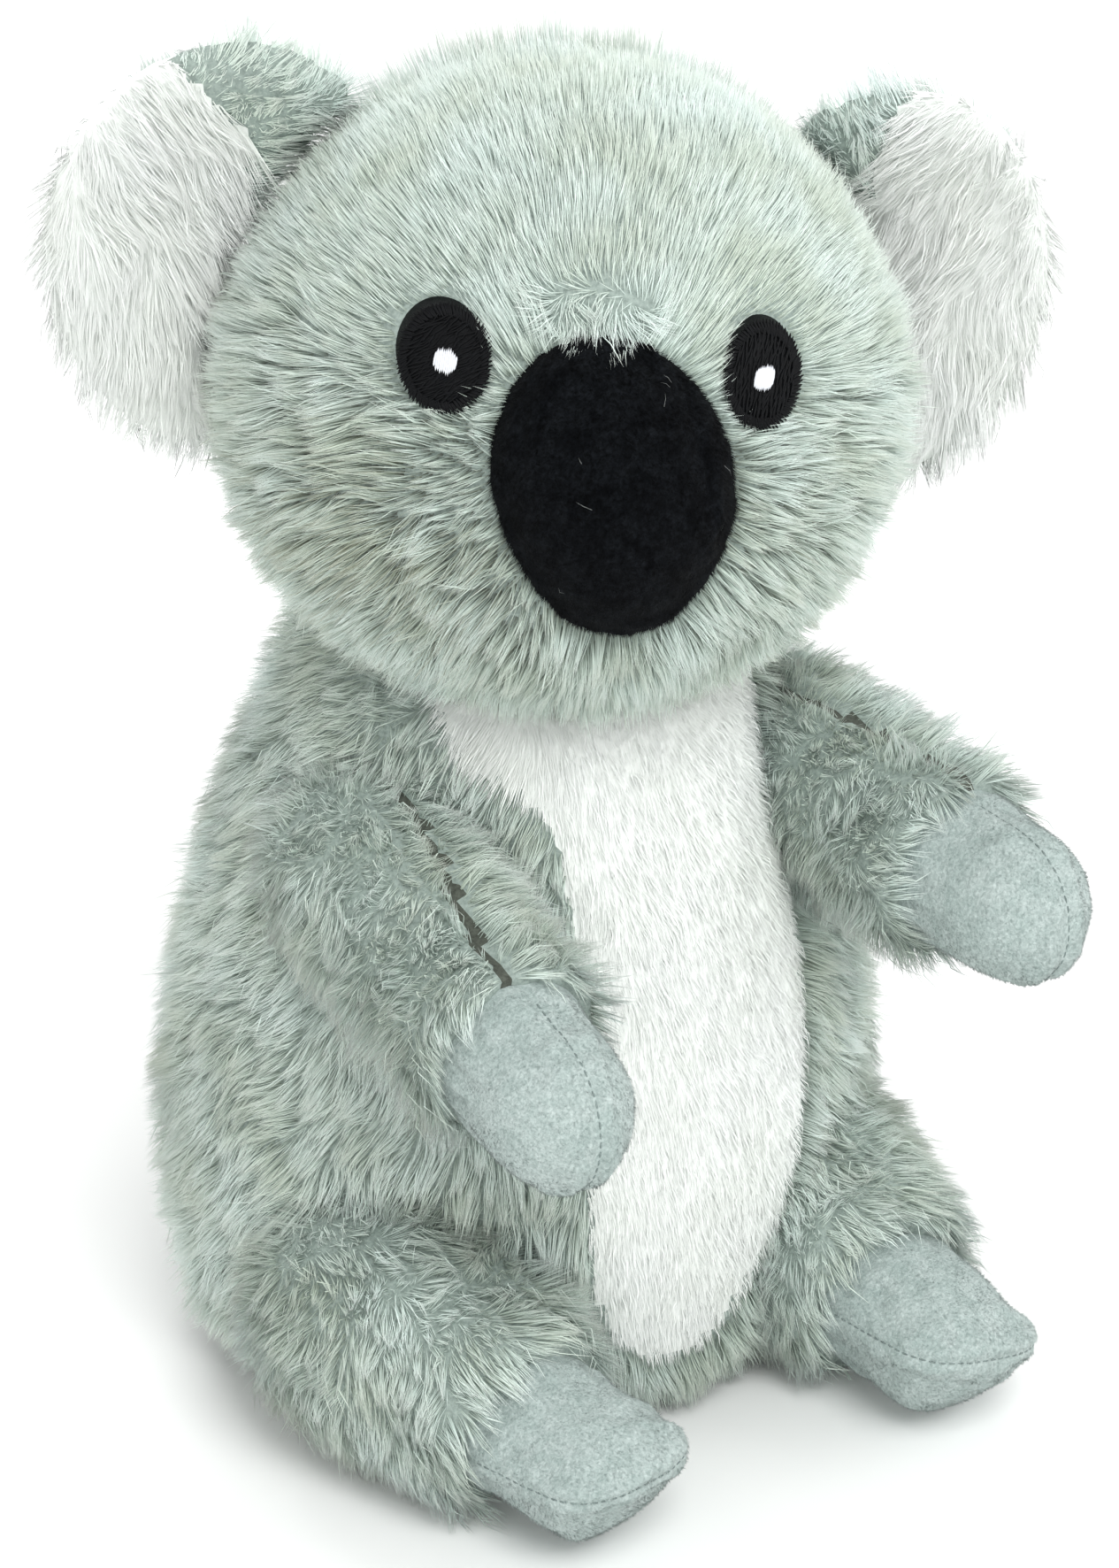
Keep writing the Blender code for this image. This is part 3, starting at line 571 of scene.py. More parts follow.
def tufts(name, model, base, middle, tip, radius, shade, ups, material, softness,
          fade=None):
    """Tufts from base through middle to tip, with a flat side turned outwards.

    The normals on that side are turned towards the skin's, because light scatters
    among fibres and a real tuft has no hard shaded side. fade is 1 for the full
    range of shades from root to tip, and less where the dark roots don't show.
    """
    points = model[0]
    axis = unit(tip - base)
    front = unit(ups - axis * (ups * axis).sum(1, keepdims=True) + axis[:, [1, 2, 0]] * 1e-4)
    side = np.cross(front, axis)
    first = next(math.atan2(y, x) for x, y, z in points if z < 0.01)
    spin = rng.normal(0, 0.3, len(base))[:, None]
    places, normals = [], []
    for x, y, z in points:
        if z <= 0.5:
            spine = base + (middle - base) * (z * 2)
        else:
            spine = middle + (tip - middle) * (z * 2 - 1)
        turn = spin + math.atan2(y, x) - first
        out = (side * np.sin(turn) - front * np.cos(turn) * 0.7) * math.hypot(x, y)
        places.append(spine + out * radius[:, None])
        normals.append(unit(out) if math.hypot(x, y) > 0.01 else unit(front + axis * 0.3))
    places, normals = np.stack(places, 1), np.stack(normals, 1)
    facing = (normals * ups[:, None]).sum(2, keepdims=True)
    soft = np.reshape(softness, (-1, 1, 1)) * np.clip((facing + 0.45) / 0.8, 0, 1)
    normals = unit(normals * (1 - soft) + ups[:, None] * soft)
    fade = np.ones(len(base)) if fade is None else fade
    uv = np.stack([np.repeat(shade[:, None], len(points), 1),
                   1 - (1 - np.array(points)[None, :, 2]) * fade[:, None]], 2)
    return copies_mesh(name, model, places, normals, uv, material)


# %% [markdown]
# ## Growing the pile
# Roots are scattered evenly over a skin. Each tuft leans with the nap, and
# neighbours draw together into locks at their tips: small ones of 2 to 3 mm, looser
# ones of 7 and of 12 mm. That gives plush its soft clumps and dark partings.

# %% Scatter roots over a skin
def triangles(item):
    """Vertex numbers of each triangle of a mesh."""
    item.data.calc_loop_triangles()
    index = np.empty(len(item.data.loop_triangles) * 3, int)
    item.data.loop_triangles.foreach_get("vertices", index)
    return index.reshape(-1, 3)


def scatter(item, per_mm2):
    """Even random roots on a skin, with the skin's normal at each."""
    co, normals, tris = coords(item), vertex_normals(item), triangles(item)
    a, b, c = co[tris[:, 0]], co[tris[:, 1]], co[tris[:, 2]]
    areas = np.linalg.norm(np.cross(b - a, c - a), axis=1) / 2
    count = int(areas.sum() * 1e6 * per_mm2)
    pick = rng.choice(len(tris), count, p=areas / areas.sum())
    u, v = rng.random(count), rng.random(count)
    flip = u + v > 1
    u[flip], v[flip] = 1 - u[flip], 1 - v[flip]
    w = np.stack([1 - u - v, u, v], 1)[:, :, None]
    return (co[tris[pick]] * w).sum(1), unit((normals[tris[pick]] * w).sum(1))


def lock_ids(p, size, seed):
    """Which lock each root belongs to: warped cells about size across."""
    warp = np.stack([ripple(p, size * 3.1, seed + k) for k in range(3)], 1) * size * 0.7
    cells = np.floor((p + warp) / size).astype(int)
    _, ids = np.unique(cells, axis=0, return_inverse=True)
    return ids.ravel()


# %% Lean, bend and gather the tufts
# Each kind of lock: its size, how much it gathers its tufts, and how far their tips jump
LOCKS = ((0.0026, 0.62, 0.22), (0.0066, 0.40, 0.20), (0.0120, 0.20, 0.20))


def grow(roots, ups, flow, length, lean, clump, seed):
    """Base, middle and tip of each tuft, and the shade of its lock."""
    f = unit(flow - ups * (flow * ups).sum(1, keepdims=True))
    swirl = ((ripple(roots, 0.022, seed) * 0.36 + ripple(roots, 0.009, seed + 3) * 0.22)
             * (0.3 + 0.7 * clump) + rng.normal(0, 0.10, len(roots)))
    across = np.cross(ups, f)
    f = f * np.cos(swirl)[:, None] + across * np.sin(swirl)[:, None]
    uneven = (ripple(roots, 0.013, seed + 9) * 0.24 + ripple(roots, 0.005, seed + 12) * 0.17)
    lean = np.clip(lean + rng.normal(0, 0.08, len(roots)) + uneven * (0.2 + 0.8 * clump),
                   0.05, 1.35)
    ids = lock_ids(roots, LOCKS[0][0], seed + 20)
    length = length * (1 + 0.13 * np.random.default_rng(seed).normal(size=ids.max() + 1)[ids])
    first, last = (lean * 0.65)[:, None], np.minimum(lean * 1.22, 1.5)[:, None]
    base = roots - ups * 0.0005
    middle = roots + (ups * np.cos(first) + f * np.sin(first)) * length[:, None] * 0.5
    tip = middle + (ups * np.cos(last) + f * np.sin(last)) * length[:, None] * 0.5
    shades = []
    for k, (size, pull, jump) in enumerate(LOCKS):
        jump = jump * (0.35 + 0.65 * clump.mean())
        ids = lock_ids(roots, size, seed + 20 * k + 20)
        counts = np.bincount(ids)[:, None]
        local = np.random.default_rng(seed + k)
        mean_middle = np.stack([np.bincount(ids, middle[:, j]) for j in range(3)], 1) / counts
        mean_tip = np.stack([np.bincount(ids, tip[:, j]) for j in range(3)], 1) / counts
        mean_tip += local.normal(0, 1, mean_tip.shape) * size * jump
        share = np.minimum(clump * pull * rng.uniform(0.6, 1.15, len(roots)), 0.92)[:, None]
        middle = middle + (mean_middle[ids] - middle) * share * 0.4
        tip = tip + (mean_tip[ids] - tip) * share
        shades.append(local.uniform(0, 1, len(counts))[ids])
    return base, middle, tip, shades[0] * 0.55 + shades[1] * 0.3 + shades[2] * 0.15


def constant(value):
    """The same value for every root."""
    return lambda p: np.full(len(p), value)


# A piece with more tufts than this is made as several, because of its triangles
MOST_STRAIGHT, MOST_BENT = 45000, 18000
# Each kind of hair: its share of the roots, its model, the most in a piece, its length
COATS = (("coat", 0.94, straight_tuft, MOST_STRAIGHT, 1.0),
         ("over", 0.06, bent_tuft, MOST_BENT, 1.12))
TABLE_GAP = 0.0003


def by_height(roots, most):
    """Numbered groups of at most that many roots, from the lowest group up."""
    parts = max(1, math.ceil(len(roots) / most))
    return enumerate(np.array_split(np.argsort(roots[:, 2]), parts), 1)


def wear(name, key, per_mm2, flow, length, lean, clump, material, seed, keep,
         trim=None, radius=0.00014, calm=constant(0.0)):
    """Grow pile on a skin: a coat of straight tufts and a few longer, bent ones.

    calm is 1 where the real pile lies so evenly that no strand stands out from it.
    None grows where the toy sits on the table.
    """
    made = []
    for kind, share, model, most, stretch in COATS:
        roots, ups = scatter(skins[key], per_mm2 * share)
        wanted = keep(roots, ups) & ~((roots[:, 2] < 0.004) & (ups[:, 2] < -0.7))
        roots, ups = roots[wanted], ups[wanted]
        size = length(roots) * rng.uniform(0.72, 1.08, len(roots)) * stretch
        base, middle, tip, lock = grow(roots, ups, flow(roots, ups), size, lean(roots),
                                       clump(roots), seed)
        if trim is not None:
            trim(base, middle, tip)
        for points in (base, middle, tip):
            points[:, 2] = np.maximum(points[:, 2], TABLE_GAP)
        if model is straight_tuft:
            middle = (base + tip) / 2
        quiet = calm(roots)
        fade = 1 - 0.5 * np.clip(quiet, 0, 1)
        shade = 1 - (1 - 0.5 * lock - 0.5 * rng.random(len(roots))) * (1 - 0.6 * quiet)
        thick = radius * rng.uniform(0.75, 1.25, len(roots))
        softness = np.minimum(0.82 + 0.14 * quiet, 0.97)
        for number, part in by_height(roots, most):
            made.append(tufts(f"{name}_{kind}_{number}", model, base[part], middle[part],
                              tip[part], thick[part], shade[part], ups[part], material,
                              softness[part], fade[part]))
    return made


# %% Where one form covers another
def planes(item):
    """Outward normals and offsets of a closed convex form."""
    copy = item.copy()
    copy.data = item.data.copy()
    scene.collection.objects.link(copy)
    only(copy)
    bpy.ops.object.mode_set(mode="EDIT")
    bpy.ops.mesh.select_all(action="SELECT")
    bpy.ops.mesh.convex_hull()
    bpy.ops.object.mode_set(mode="OBJECT")
    apply_modifier(copy, "DECIMATE", ratio=0.12)
    count = len(copy.data.polygons)
    normals, centers = np.empty(count * 3), np.empty(count * 3)
    copy.data.polygons.foreach_get("normal", normals)
    copy.data.polygons.foreach_get("center", centers)
    bpy.data.objects.remove(copy)
    normals, centers = normals.reshape(-1, 3), centers.reshape(-1, 3)
    return normals, (normals * centers).sum(1)


def buried(p, key, depth):
    """True where a point lies deeper than depth inside another form."""
    normals, offsets = forms[key]
    result = np.empty(len(p), bool)
    for k in range(0, len(p), 20000):
        result[k:k + 20000] = (p[k:k + 20000] @ normals.T - offsets).max(1) < -depth
    return result


# How deep in a neighbour a root may lie before its tuft is left out
DEEP, SHALLOW = 0.008, 0.004
forms = {key: planes(skins[key]) for key in ("body", "head", *limb_frames)}
print("planes:", {key: len(form[1]) for key, form in forms.items()})

# %% [markdown]
# ## Head pile
# On the real face the nap runs away from the nose on all sides: up and back over
# the forehead, out over the cheeks and down from the chin. It stands up most round
# the muzzle. The pile is kept off the nose and the eyes, apart from a forelock that
# hangs over the nose's top edge and a few strays at the lower edge of the eyes.

# %% Ovals of the nose and the eyes
NOSE_CENTER, NOSE_HALF_WIDTH, NOSE_HALF_HEIGHT = 0.0718, 0.0260, 0.0331
NOSE_WIDEST, NOSE_TAPER, NOSE_SET_ASIDE, NOSE_LEAN = 0.53, 1.5, -0.0039, 0.0082
EYE_FROM_MIDDLE = 0.035
EYE_HALF_WIDTH, EYE_HALF_HEIGHT, EYE_TILT = 0.0088, 0.0108, math.radians(18)


def eye_center(sign):
    """Place of an eye's middle; the left one sits a little higher."""
    return -0.0034 + sign * 0.03355, 0.0966 + sign * 0.00075


def nose_share(q):
    """1 on the nose's outline, less inside it; its lower end is narrow and leans left."""
    share = (q[:, 2] - NOSE_CENTER + NOSE_HALF_HEIGHT) / (2 * NOSE_HALF_HEIGHT)
    across = np.abs(q[:, 0] - NOSE_SET_ASIDE - NOSE_LEAN * (1 - np.clip(share, 0, 1)))
    low = share < NOSE_WIDEST
    aside = np.where(low, 1 - share / NOSE_WIDEST, (share - NOSE_WIDEST) / (1 - NOSE_WIDEST))
    value = np.sqrt(aside ** np.where(low, NOSE_TAPER, 2) + (across / NOSE_HALF_WIDTH) ** 2)
    return np.where(q[:, 1] < 0, value, FAR)


def eye_share(q, sign):
    """1 on an eye's outline, less inside it."""
    x, z = eye_center(sign)
    dx, dz = q[:, 0] - x, q[:, 2] - z
    tilt = sign * EYE_TILT
    u = dx * math.cos(tilt) + dz * math.sin(tilt)
    v = dz * math.cos(tilt) - dx * math.sin(tilt)
    value = np.hypot(u / EYE_HALF_WIDTH, v / EYE_HALF_HEIGHT)
    return np.where(q[:, 1] < 0, value, FAR)


def forelock(q):
    """1 in the unruly pile just above the nose, which falls over its edge."""
    near = np.exp(-((q[:, 0] + 0.006) / 0.0085) ** 2 - ((q[:, 2] - 0.1068) / 0.0042) ** 2)
    return np.where(q[:, 1] < 0, np.minimum(near * 2.0, 1), 0)


def crown_ruffle(q):
    """1 along the crown's seam, where the pile stands up behind the smooth forehead."""
    return np.exp(-((q[:, 1] - 0.020) / 0.008) ** 2) * smoothstep(0.112, 0.126, q[:, 2])


def rubbed_cheek_and_painted_shade(q):
    """1 on the right cheek, where the pile is rubbed up and its brown roots show; its darker
    tufts there are partly painted shade.
    """
    near = np.exp(-((q[:, 0] + 0.042) / 0.026) ** 2 - ((q[:, 2] - 0.050) / 0.026) ** 2)
    return np.where(q[:, 1] < 0.01, near, 0)


# %% Grow the head pile
def head_flow(p, ups):
    """Away from the nose, a little back and down; the forelock falls unevenly ahead."""
    q = head_space(p)
    away = q - np.array((0, -0.075, 0.068))
    away[:, 1] *= 0.6
    sides = smoothstep(0.02, 0.05, np.abs(q[:, 0])) * (q[:, 2] < 0.09)
    f = unit(away) + np.array((0, 0.25, -0.05)) + sides[:, None] * np.array((0, 0, -0.25))
    loose = forelock(q)[:, None]
    wild = np.stack([ripple(p, 0.008, 77) * 0.6, np.full(len(p), -0.4),
                     -1.0 + 0.3 * ripple(p, 0.007, 78)], 1)
    return from_head(f * (1 - loose) + wild * loose * 1.5)


def face_rough(p):
    """0 on the smooth forehead and crown, 1 on the cheeks, muzzle and chin."""
    q = head_space(p)
    return 1 - smoothstep(0.082, 0.108, q[:, 2])


def head_lean(p):
    """Flat on the forehead, steeper on the cheeks, upright at the nose and eyes."""
    q = head_space(p)
    muzzle = (1 - smoothstep(1.05, 1.9, nose_share(q))) * (q[:, 2] < 0.1)
    rim = 1 - smoothstep(1.0, 1.14, np.minimum(nose_share(q), np.minimum(
        eye_share(q, 1), eye_share(q, -1)) * 0.98))
    lean = (1.12 - 0.34 * face_rough(p) - 0.12 * muzzle) * (1 - 0.65 * rim)
    lean = lean - 0.88 * crown_ruffle(q) - 0.15 * rubbed_cheek_and_painted_shade(q)
    return lean + (0.92 - lean) * forelock(q)


def head_length(p):
    """Longer on the cheeks and the crown, shorter round the eyes."""
    q = head_space(p)
    near = np.minimum(eye_share(q, 1), eye_share(q, -1))
    size = 0.0084 + 0.0024 * face_rough(p) + 0.0040 * crown_ruffle(q)
    size = size * (0.6 + 0.4 * smoothstep(1.0, 1.5, near))
    return size + (0.0110 - size) * forelock(q)


def head_calm(p):
    """Even on the forehead and forelock, a little more even on the right of the cheeks and
    muzzle, and uneven and darker on the right cheek, partly painted shade.
    """
    q = head_space(p)
    quiet = 0.45 * (1 - face_rough(p)) * (1 - 0.5 * crown_ruffle(q))
    # A negative calm on the right cheek darkens its tufts: painted shade as well as rubbed
    # pile
    quiet = quiet + 0.2 * face_rough(p) * smoothstep(0.03, 0.0, q[:, 0]) - 1.2 * rubbed_cheek_and_painted_shade(q)
    return quiet + (0.9 - quiet) * forelock(q)


def keep_head(p, ups):
    """True off the nose, the eyes and the place where the head sits on the body."""
    q = head_space(p)
    clear = (nose_share(q) > 0.95) & (eye_share(q, 1) > 0.96) & (eye_share(q, -1) > 0.96)
    return clear & ~buried(p, "body", DEEP)


def trim_face(base, middle, tip):
    """Stop tufts at the edge of the nose and the eyes, but leave a few strays."""
    root, end = head_space(base), head_space(tip)
    free = forelock(root) > 0.5
    for share in (nose_share, lambda q: eye_share(q, 1), lambda q: eye_share(q, -1)):
        inner, outer = share(end), share(root)
        cross = (inner < 0.98) & ~free & (rng.random(len(base)) > 0.02)
        part = np.clip((outer - 0.98) / np.maximum(outer - inner, 0.05), 0.5, 1)
        part = np.where(cross, part, 1)[:, None]
        middle[:] = base + (middle - base) * part
        tip[:] = base + (tip - base) * part


pile = {}
pile["head"] = wear("head_pile", "head", per_mm2=1.9, flow=head_flow, length=head_length,
                    lean=head_lean, clump=lambda p: 0.15 + 1.2 * face_rough(p),
                    material=grey_pile, seed=101, keep=keep_head, trim=trim_face,
                    calm=head_calm)
print("head pieces:", len(pile["head"]))

# %% [markdown]
# ## Body and belly pile
# The grey pile of the body is about 9 mm long and runs down and back. The belly is
# cut from white pile that lies shorter and smoother. Its edge isn't a line: the
# longer grey tufts lap over it.

# %% Grow the body and belly pile
BELLY_BOTTOM, BELLY_HEIGHT, BELLY_HALF_WIDTH = 0.016, 0.184, 0.045
BELLY_PILE_LAP = 0.0040
# Height up the panel and its reach to the right and left, as shares of those sizes
BELLY_EDGE_SHARES = np.array((
    (0.00, 0.26, 0.04), (0.04, 0.45, 0.24), (0.12, 0.60, 0.52), (0.24, 0.63, 0.70),
    (0.36, 0.62, 0.79), (0.50, 0.59, 0.83), (0.60, 0.55, 0.80), (0.70, 0.56, 0.79),
    (0.74, 0.62, 0.83), (0.78, 0.84, 0.90), (0.83, 0.90, 0.97), (1.00, 0.92, 1.00)))


def in_belly(p):
    """True where a tuft's tip ends on the white panel, whose edges are the table's."""
    p = p + body_flow(p, None) * BELLY_PILE_LAP
    t = (p[:, 2] - BELLY_BOTTOM) / BELLY_HEIGHT
    heights, right_shares, left_shares = BELLY_EDGE_SHARES.T
    right_edge = np.interp(t, heights, right_shares) * BELLY_HALF_WIDTH
    left_edge = np.interp(t, heights, left_shares) * BELLY_HALF_WIDTH
    return (p[:, 1] < 0) & (t > 0) & (p[:, 0] > -right_edge) & (p[:, 0] < left_edge)


def body_flow(p, ups):
    """Down and back, and a little outwards all round."""
    out = np.stack([p[:, 0], p[:, 1] - 0.008, np.zeros(len(p))], 1)
    return unit(out) * 0.2 + np.array((0, 0.35, -1.0))


def belly_length(p):
    """Short pile all over, but long at the right corner of the bib, under the chin."""
    corner = np.exp(-((p[:, 0] + 0.036) / 0.012) ** 2 - ((p[:, 2] - 0.165) / 0.014) ** 2)
    return 0.0046 + 0.0048 * corner * (p[:, 1] < 0)


def keep_body(p, ups):
    """True where no head or limb sits on the body."""
    hidden = buried(p, "head", DEEP)
    for key in limb_frames:
        hidden |= buried(p, key, DEEP)
    return ~hidden


GREY_PILE_LENGTH = 0.0094
pile["body"] = wear("body_pile", "body", per_mm2=1.75, flow=body_flow,
                    length=constant(GREY_PILE_LENGTH), lean=constant(0.76),
                    clump=constant(1.4), material=grey_pile, seed=202,
                    keep=lambda p, ups: keep_body(p, ups) & ~in_belly(p),
                    calm=constant(0.35))
pile["belly"] = wear("belly_pile", "body", per_mm2=2.0, flow=body_flow,
                     length=belly_length, lean=constant(1.26),
                     clump=constant(0.25), material=white_pile, seed=303,
                     keep=lambda p, ups: keep_body(p, ups) & in_belly(p),
                     radius=0.00018, calm=constant(1.25))
print("body pieces:", len(pile["body"]), "belly pieces:", len(pile["belly"]))

# %% [markdown]
# ## Sleeve pile
# The nap of each sleeve runs out along the limb and hangs a little. On an arm a seam
# along the upper side parts it, so that the backing shows between locks that fall
# both ways; there the backing is painted dark, as painted shade in the parting. At the
# cuff the tufts lie flat and reach over the seam of the paw or foot.

# %% Grow the sleeve pile
PARTED_PILE_WIDTH, PAINTED_SEAM_SHADE_WIDTH = 0.0010, 0.0016


def at_parted_seam(key, p, width):
    """True near the seam of an arm; the pile hides the seam of a leg."""
    return ("arm" in key) & (np.abs(seam_offset(key, p)) < width)


def grow_sleeve(key, seed):
    """Pile of one sleeve, with its cuff and, on an arm, its parted seam."""
    _, axes, reach = limb_frames[key]

    def parting(p):
        """1 at an arm's seam, 0 beyond 8 mm from it, at the shoulder and on a leg."""
        near = 1 - smoothstep(0.001, 0.008, np.abs(seam_offset(key, p)))
        near = near * ("arm" in key)
        return near * smoothstep(0.0, 0.012, limb_space(key, p)[:, 2])

    def flow(p, ups):
        """Along the limb and down, and aside from the parted seam."""
        q = limb_space(key, p)
        cuff = smoothstep(reach - 0.02, reach - 0.004, q[:, 2])[:, None]
        aside = (parting(p) * np.sign(seam_offset(key, p)))[:, None] * axes[0]
        return axes[2] + np.array((0, 0, -0.45)) * (1 - cuff) + aside * 1.9

    def cuff_share(p):
        """1 at the cuff, 0 up to 14 mm before it."""
        return smoothstep(reach - 0.014, reach - 0.002, limb_space(key, p)[:, 2])

    def keep(p, ups):
        """True off the body, the sleeve's closed end and the parted seam."""
        end_cap = (ups @ axes[2] > 0.9) & (cuff_share(p) > 0.5)
        parted = at_parted_seam(key, p, PARTED_PILE_WIDTH)
        return ~buried(p, "body", SHALLOW) & ~end_cap & ~parted

    return wear(f"{key}_pile", key, per_mm2=1.9, flow=flow,
                length=lambda p: GREY_PILE_LENGTH + 0.0032 * cuff_share(p),
                lean=lambda p: 0.76 + 0.38 * np.maximum(cuff_share(p), 0.5 * parting(p)),
                clump=constant(1.4), material=grey_pile, seed=seed, keep=keep,
                calm=constant(0.5))


for number, key in enumerate(limb_frames):
    pile[key] = grow_sleeve(key, 404 + number)
    print(key, "pieces:", len(pile[key]))

# %% [markdown]
# ## Ear pile
# Each ear is white in front and grey behind. The grey back is gathered over the top
# of the front, and a fold in the white front parts its nap: it runs out over the rim
# beyond the fold, and in and down from it, ending in a long ragged fringe.

# %% Places on an ear
EAR_REACH, EAR_HEIGHT = 0.074, 0.091
EAR_HALF_WIDTH, EAR_HALF_HEIGHT = 0.043, 0.051
# Heights up each ear, and how far the grey reaches over the front at them
GREY_WEDGE_SHARES = {
    "right": ((-1, -0.1, 0.05, 0.3, 0.52, 0.7, 0.89, 1.1),
              (-1.2, -1, 0, -0.05, -0.05, 0.18, 0.46, 0.7)),
    "left": ((-1, 0.3, 0.45, 0.84, 1.2), (-1.2, -1, -0.16, -0.09, 0.12)),
}


def ear_space(side, p):
    """Across and up an ear in shares of its half sizes: 1 across is its outer rim."""
    q = head_space(p)
    sign = 1 if side == "left" else -1
    return ((sign * q[:, 0] - EAR_REACH) / EAR_HALF_WIDTH,
            (q[:, 2] - EAR_HEIGHT) / EAR_HALF_HEIGHT)


def is_white(side, p, ups):
    """White in front and round the outer and lower rim, but not in the grey wedge."""
    a, b = ear_space(side, p)
    ragged = ripple(p, 0.006, 11) * 0.05
    wrapped = 0.15 + 0.55 * smoothstep(0.0, 0.4, a - b * 0.5)
    inner_edge = np.interp(b, *GREY_WEDGE_SHARES[side])
    return (ups @ neck_y < wrapped) & (a + ragged > inner_edge)


# %% Grow the ear pile
def white_flow(side):
    """Nap of an ear's front: outwards beyond the fold, in and down from it."""
    sign = 1 if side == "left" else -1

    def flow(p, ups):
        a, b = ear_space(side, p)
        fold = np.interp(b, (-1, 0.204, 0.697, 0.894), (0.95, 0.886, 0.767, 0.595))
        beyond = smoothstep(-0.05, 0.05, a - fold)
        inner_x = np.interp(b, (-1, -0.5, 0, 0.5, 1), (0.25, 0.0, -0.45, -0.8, -0.9))
        inner_z = np.interp(b, (-1, -0.5, 0, 0.5, 1), (-1, -1, -0.9, -0.65, -0.4))
        outer_z = np.interp(b, (-1, 0, 1), (-0.9, -0.2, 0.5))
        x = inner_x * (1 - beyond) + beyond
        z = inner_z * (1 - beyond) + outer_z * beyond
        return from_head(np.stack([sign * x, np.zeros(len(p)), z], 1))
    return flow


def grey_flow(side):
    """Nap of an ear's back: outwards, and up where it reaches over the front."""
    sign = 1 if side == "left" else -1

    def flow(p, ups):
        a, b = ear_space(side, p)
        front = (ups @ neck_y < 0.15)
        x = np.where(front, -0.4, a * 0.6)
        z = np.where(front, 0.8, b * 0.5 - 0.1)
        y = np.where(front, -0.2, 0.8)
        return from_head(np.stack([sign * x, y, z], 1))
    return flow


def back_length(side):
    """Long over the top, short at the outer rim, so that no grey shows past the white."""
    def length(p):
        a, b = ear_space(side, p)
        rim = smoothstep(0.6, 0.95, np.hypot(a, b))
        return 0.0098 + rim * np.where((b > 0.55) & (a < 0.2), 0.0026, -0.0050)
    return length


for number, side in enumerate(("right", "left")):
    key = f"{side}_ear"
    pile[f"{key}_front"] = wear(
        f"{key}_white_pile", key, per_mm2=1.9, flow=white_flow(side),
        length=constant(0.0112), lean=constant(1.0), clump=constant(1.15),
        material=white_pile, seed=505 + number,
        keep=lambda p, ups: is_white(side, p, ups) & ~buried(p, "head", SHALLOW),
        calm=constant(1.3))
    pile[f"{key}_back"] = wear(
        f"{key}_grey_pile", key, per_mm2=1.9, flow=grey_flow(side),
        length=back_length(side), lean=constant(0.8), clump=constant(1.1),
        material=grey_pile, seed=515 + number,
        keep=lambda p, ups: ~is_white(side, p, ups) & ~buried(p, "head", SHALLOW),
        calm=constant(1.5))
counts = {k: sum(len(m.data.polygons) for m in v) for k, v in pile.items()}
print("pile faces:", counts, sum(counts.values()))

# %% [markdown]
# ## Nose
# The nose is a small padded cushion of black velour, sewn down all round and half
# sunk in the fur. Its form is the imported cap, closed and lengthened into the head,
# swelled with air while its sewn rim is held, and covered with pile that stands
# about 0.9 mm high.

# %% Pad the nose
nose = closed_copy("nose_cushion", ["nose_cover"], FINE_VOXEL,
                   lengthen=tuple(neck_y * 0.006))
apply_modifier(nose, "SMOOTH", factor=0.5, iterations=4)
q = head_space(coords(nose))
finish_skin(nose, even(nose, -0.0008), cap=0.0010, held=nose_share(q) > 0.97, growth=0.08)
nose.data.materials.append(velour)
skins["nose"] = nose


def nap(name, key, per_mm2, length, radius, flow, material, seed, lean=1.05, keep=None):
    """Short cut pile: straight tufts only."""
    roots, ups = scatter(skins[key], per_mm2)
    if keep is not None:
        wanted = keep(roots, ups)
        roots, ups = roots[wanted], ups[wanted]
    f = flow(roots, ups)
    f = unit(f - ups * (f * ups).sum(1, keepdims=True))
    swirl = ripple(roots, 0.009, seed) * 0.9 + rng.normal(0, 0.35, len(roots))
    f = f * np.cos(swirl)[:, None] + np.cross(ups, f) * np.sin(swirl)[:, None]
    tilt = np.clip(lean + rng.normal(0, 0.15, len(roots)), 0, 1.4)[:, None]
    size = (length * rng.uniform(0.7, 1.2, len(roots)))[:, None]
    base = roots - ups * 0.0002
    tip = roots + (ups * np.cos(tilt) + f * np.sin(tilt)) * size
    shade = rng.random(len(roots))
    thick = radius * rng.uniform(0.8, 1.2, len(roots))
    made = []
    for number, part in by_height(roots, MOST_STRAIGHT):
        made.append(tufts(f"{name}_{number}", straight_tuft, base[part],
                          (base[part] + tip[part]) / 2, tip[part], thick[part],
                          shade[part], ups[part], material, 0.8))
    return made


NAP_RADIUS = 0.00011
pile["nose"] = nap("nose_nap", "nose", per_mm2=3.5, length=0.0016, radius=NAP_RADIUS,
                   flow=lambda p, ups: np.tile(-neck_z, (len(p), 1)), material=velour,
                   seed=606, lean=0.95, keep=lambda p, ups: ups @ neck_y < 0.1)
print("nose nap faces:", len(pile["nose"][0].data.polygons))

# %% Lint caught in the velour
LINT_FIBRES, LINT_RADIUS = 9, 0.00003
roots, ups = scatter(nose, 0.01)
front = (ups @ neck_y < -0.35)
roots, ups = roots[front][:LINT_FIBRES], ups[front][:LINT_FIBRES]
turn = unit(np.cross(ups, rng.normal(size=ups.shape)))
size = rng.uniform(0.0012, 0.0042, len(roots))[:, None]
lint = tufts("nose_lint", bent_tuft, roots + ups * 0.0005,
             roots + ups * 0.0011 + turn * size * 0.5, roots + ups * 0.0007 + turn * size,
             np.full(len(roots), LINT_RADIUS), np.ones(len(roots)), ups, lint_fibre, 0.3)
print("lint fibres:", len(roots))

# %% [markdown]
# ## Eyes
# Each eye is machine embroidery: a field of parallel stitches, a thick border of
# stitches laid across its edge, and a white highlight on top. Stitches could be
# painted on, but at this size each one catches the light, so one thread is modelled
# as a rice grain and laid more than 300 times over a low oval dome.

# %% The face's surface and one stitch
HEAD_HEIGHT, HEAD_HALF_WIDTH = 0.146, 0.0758
FACE_FORWARD, FACE_FLATTENED = 0.005, 0.0078


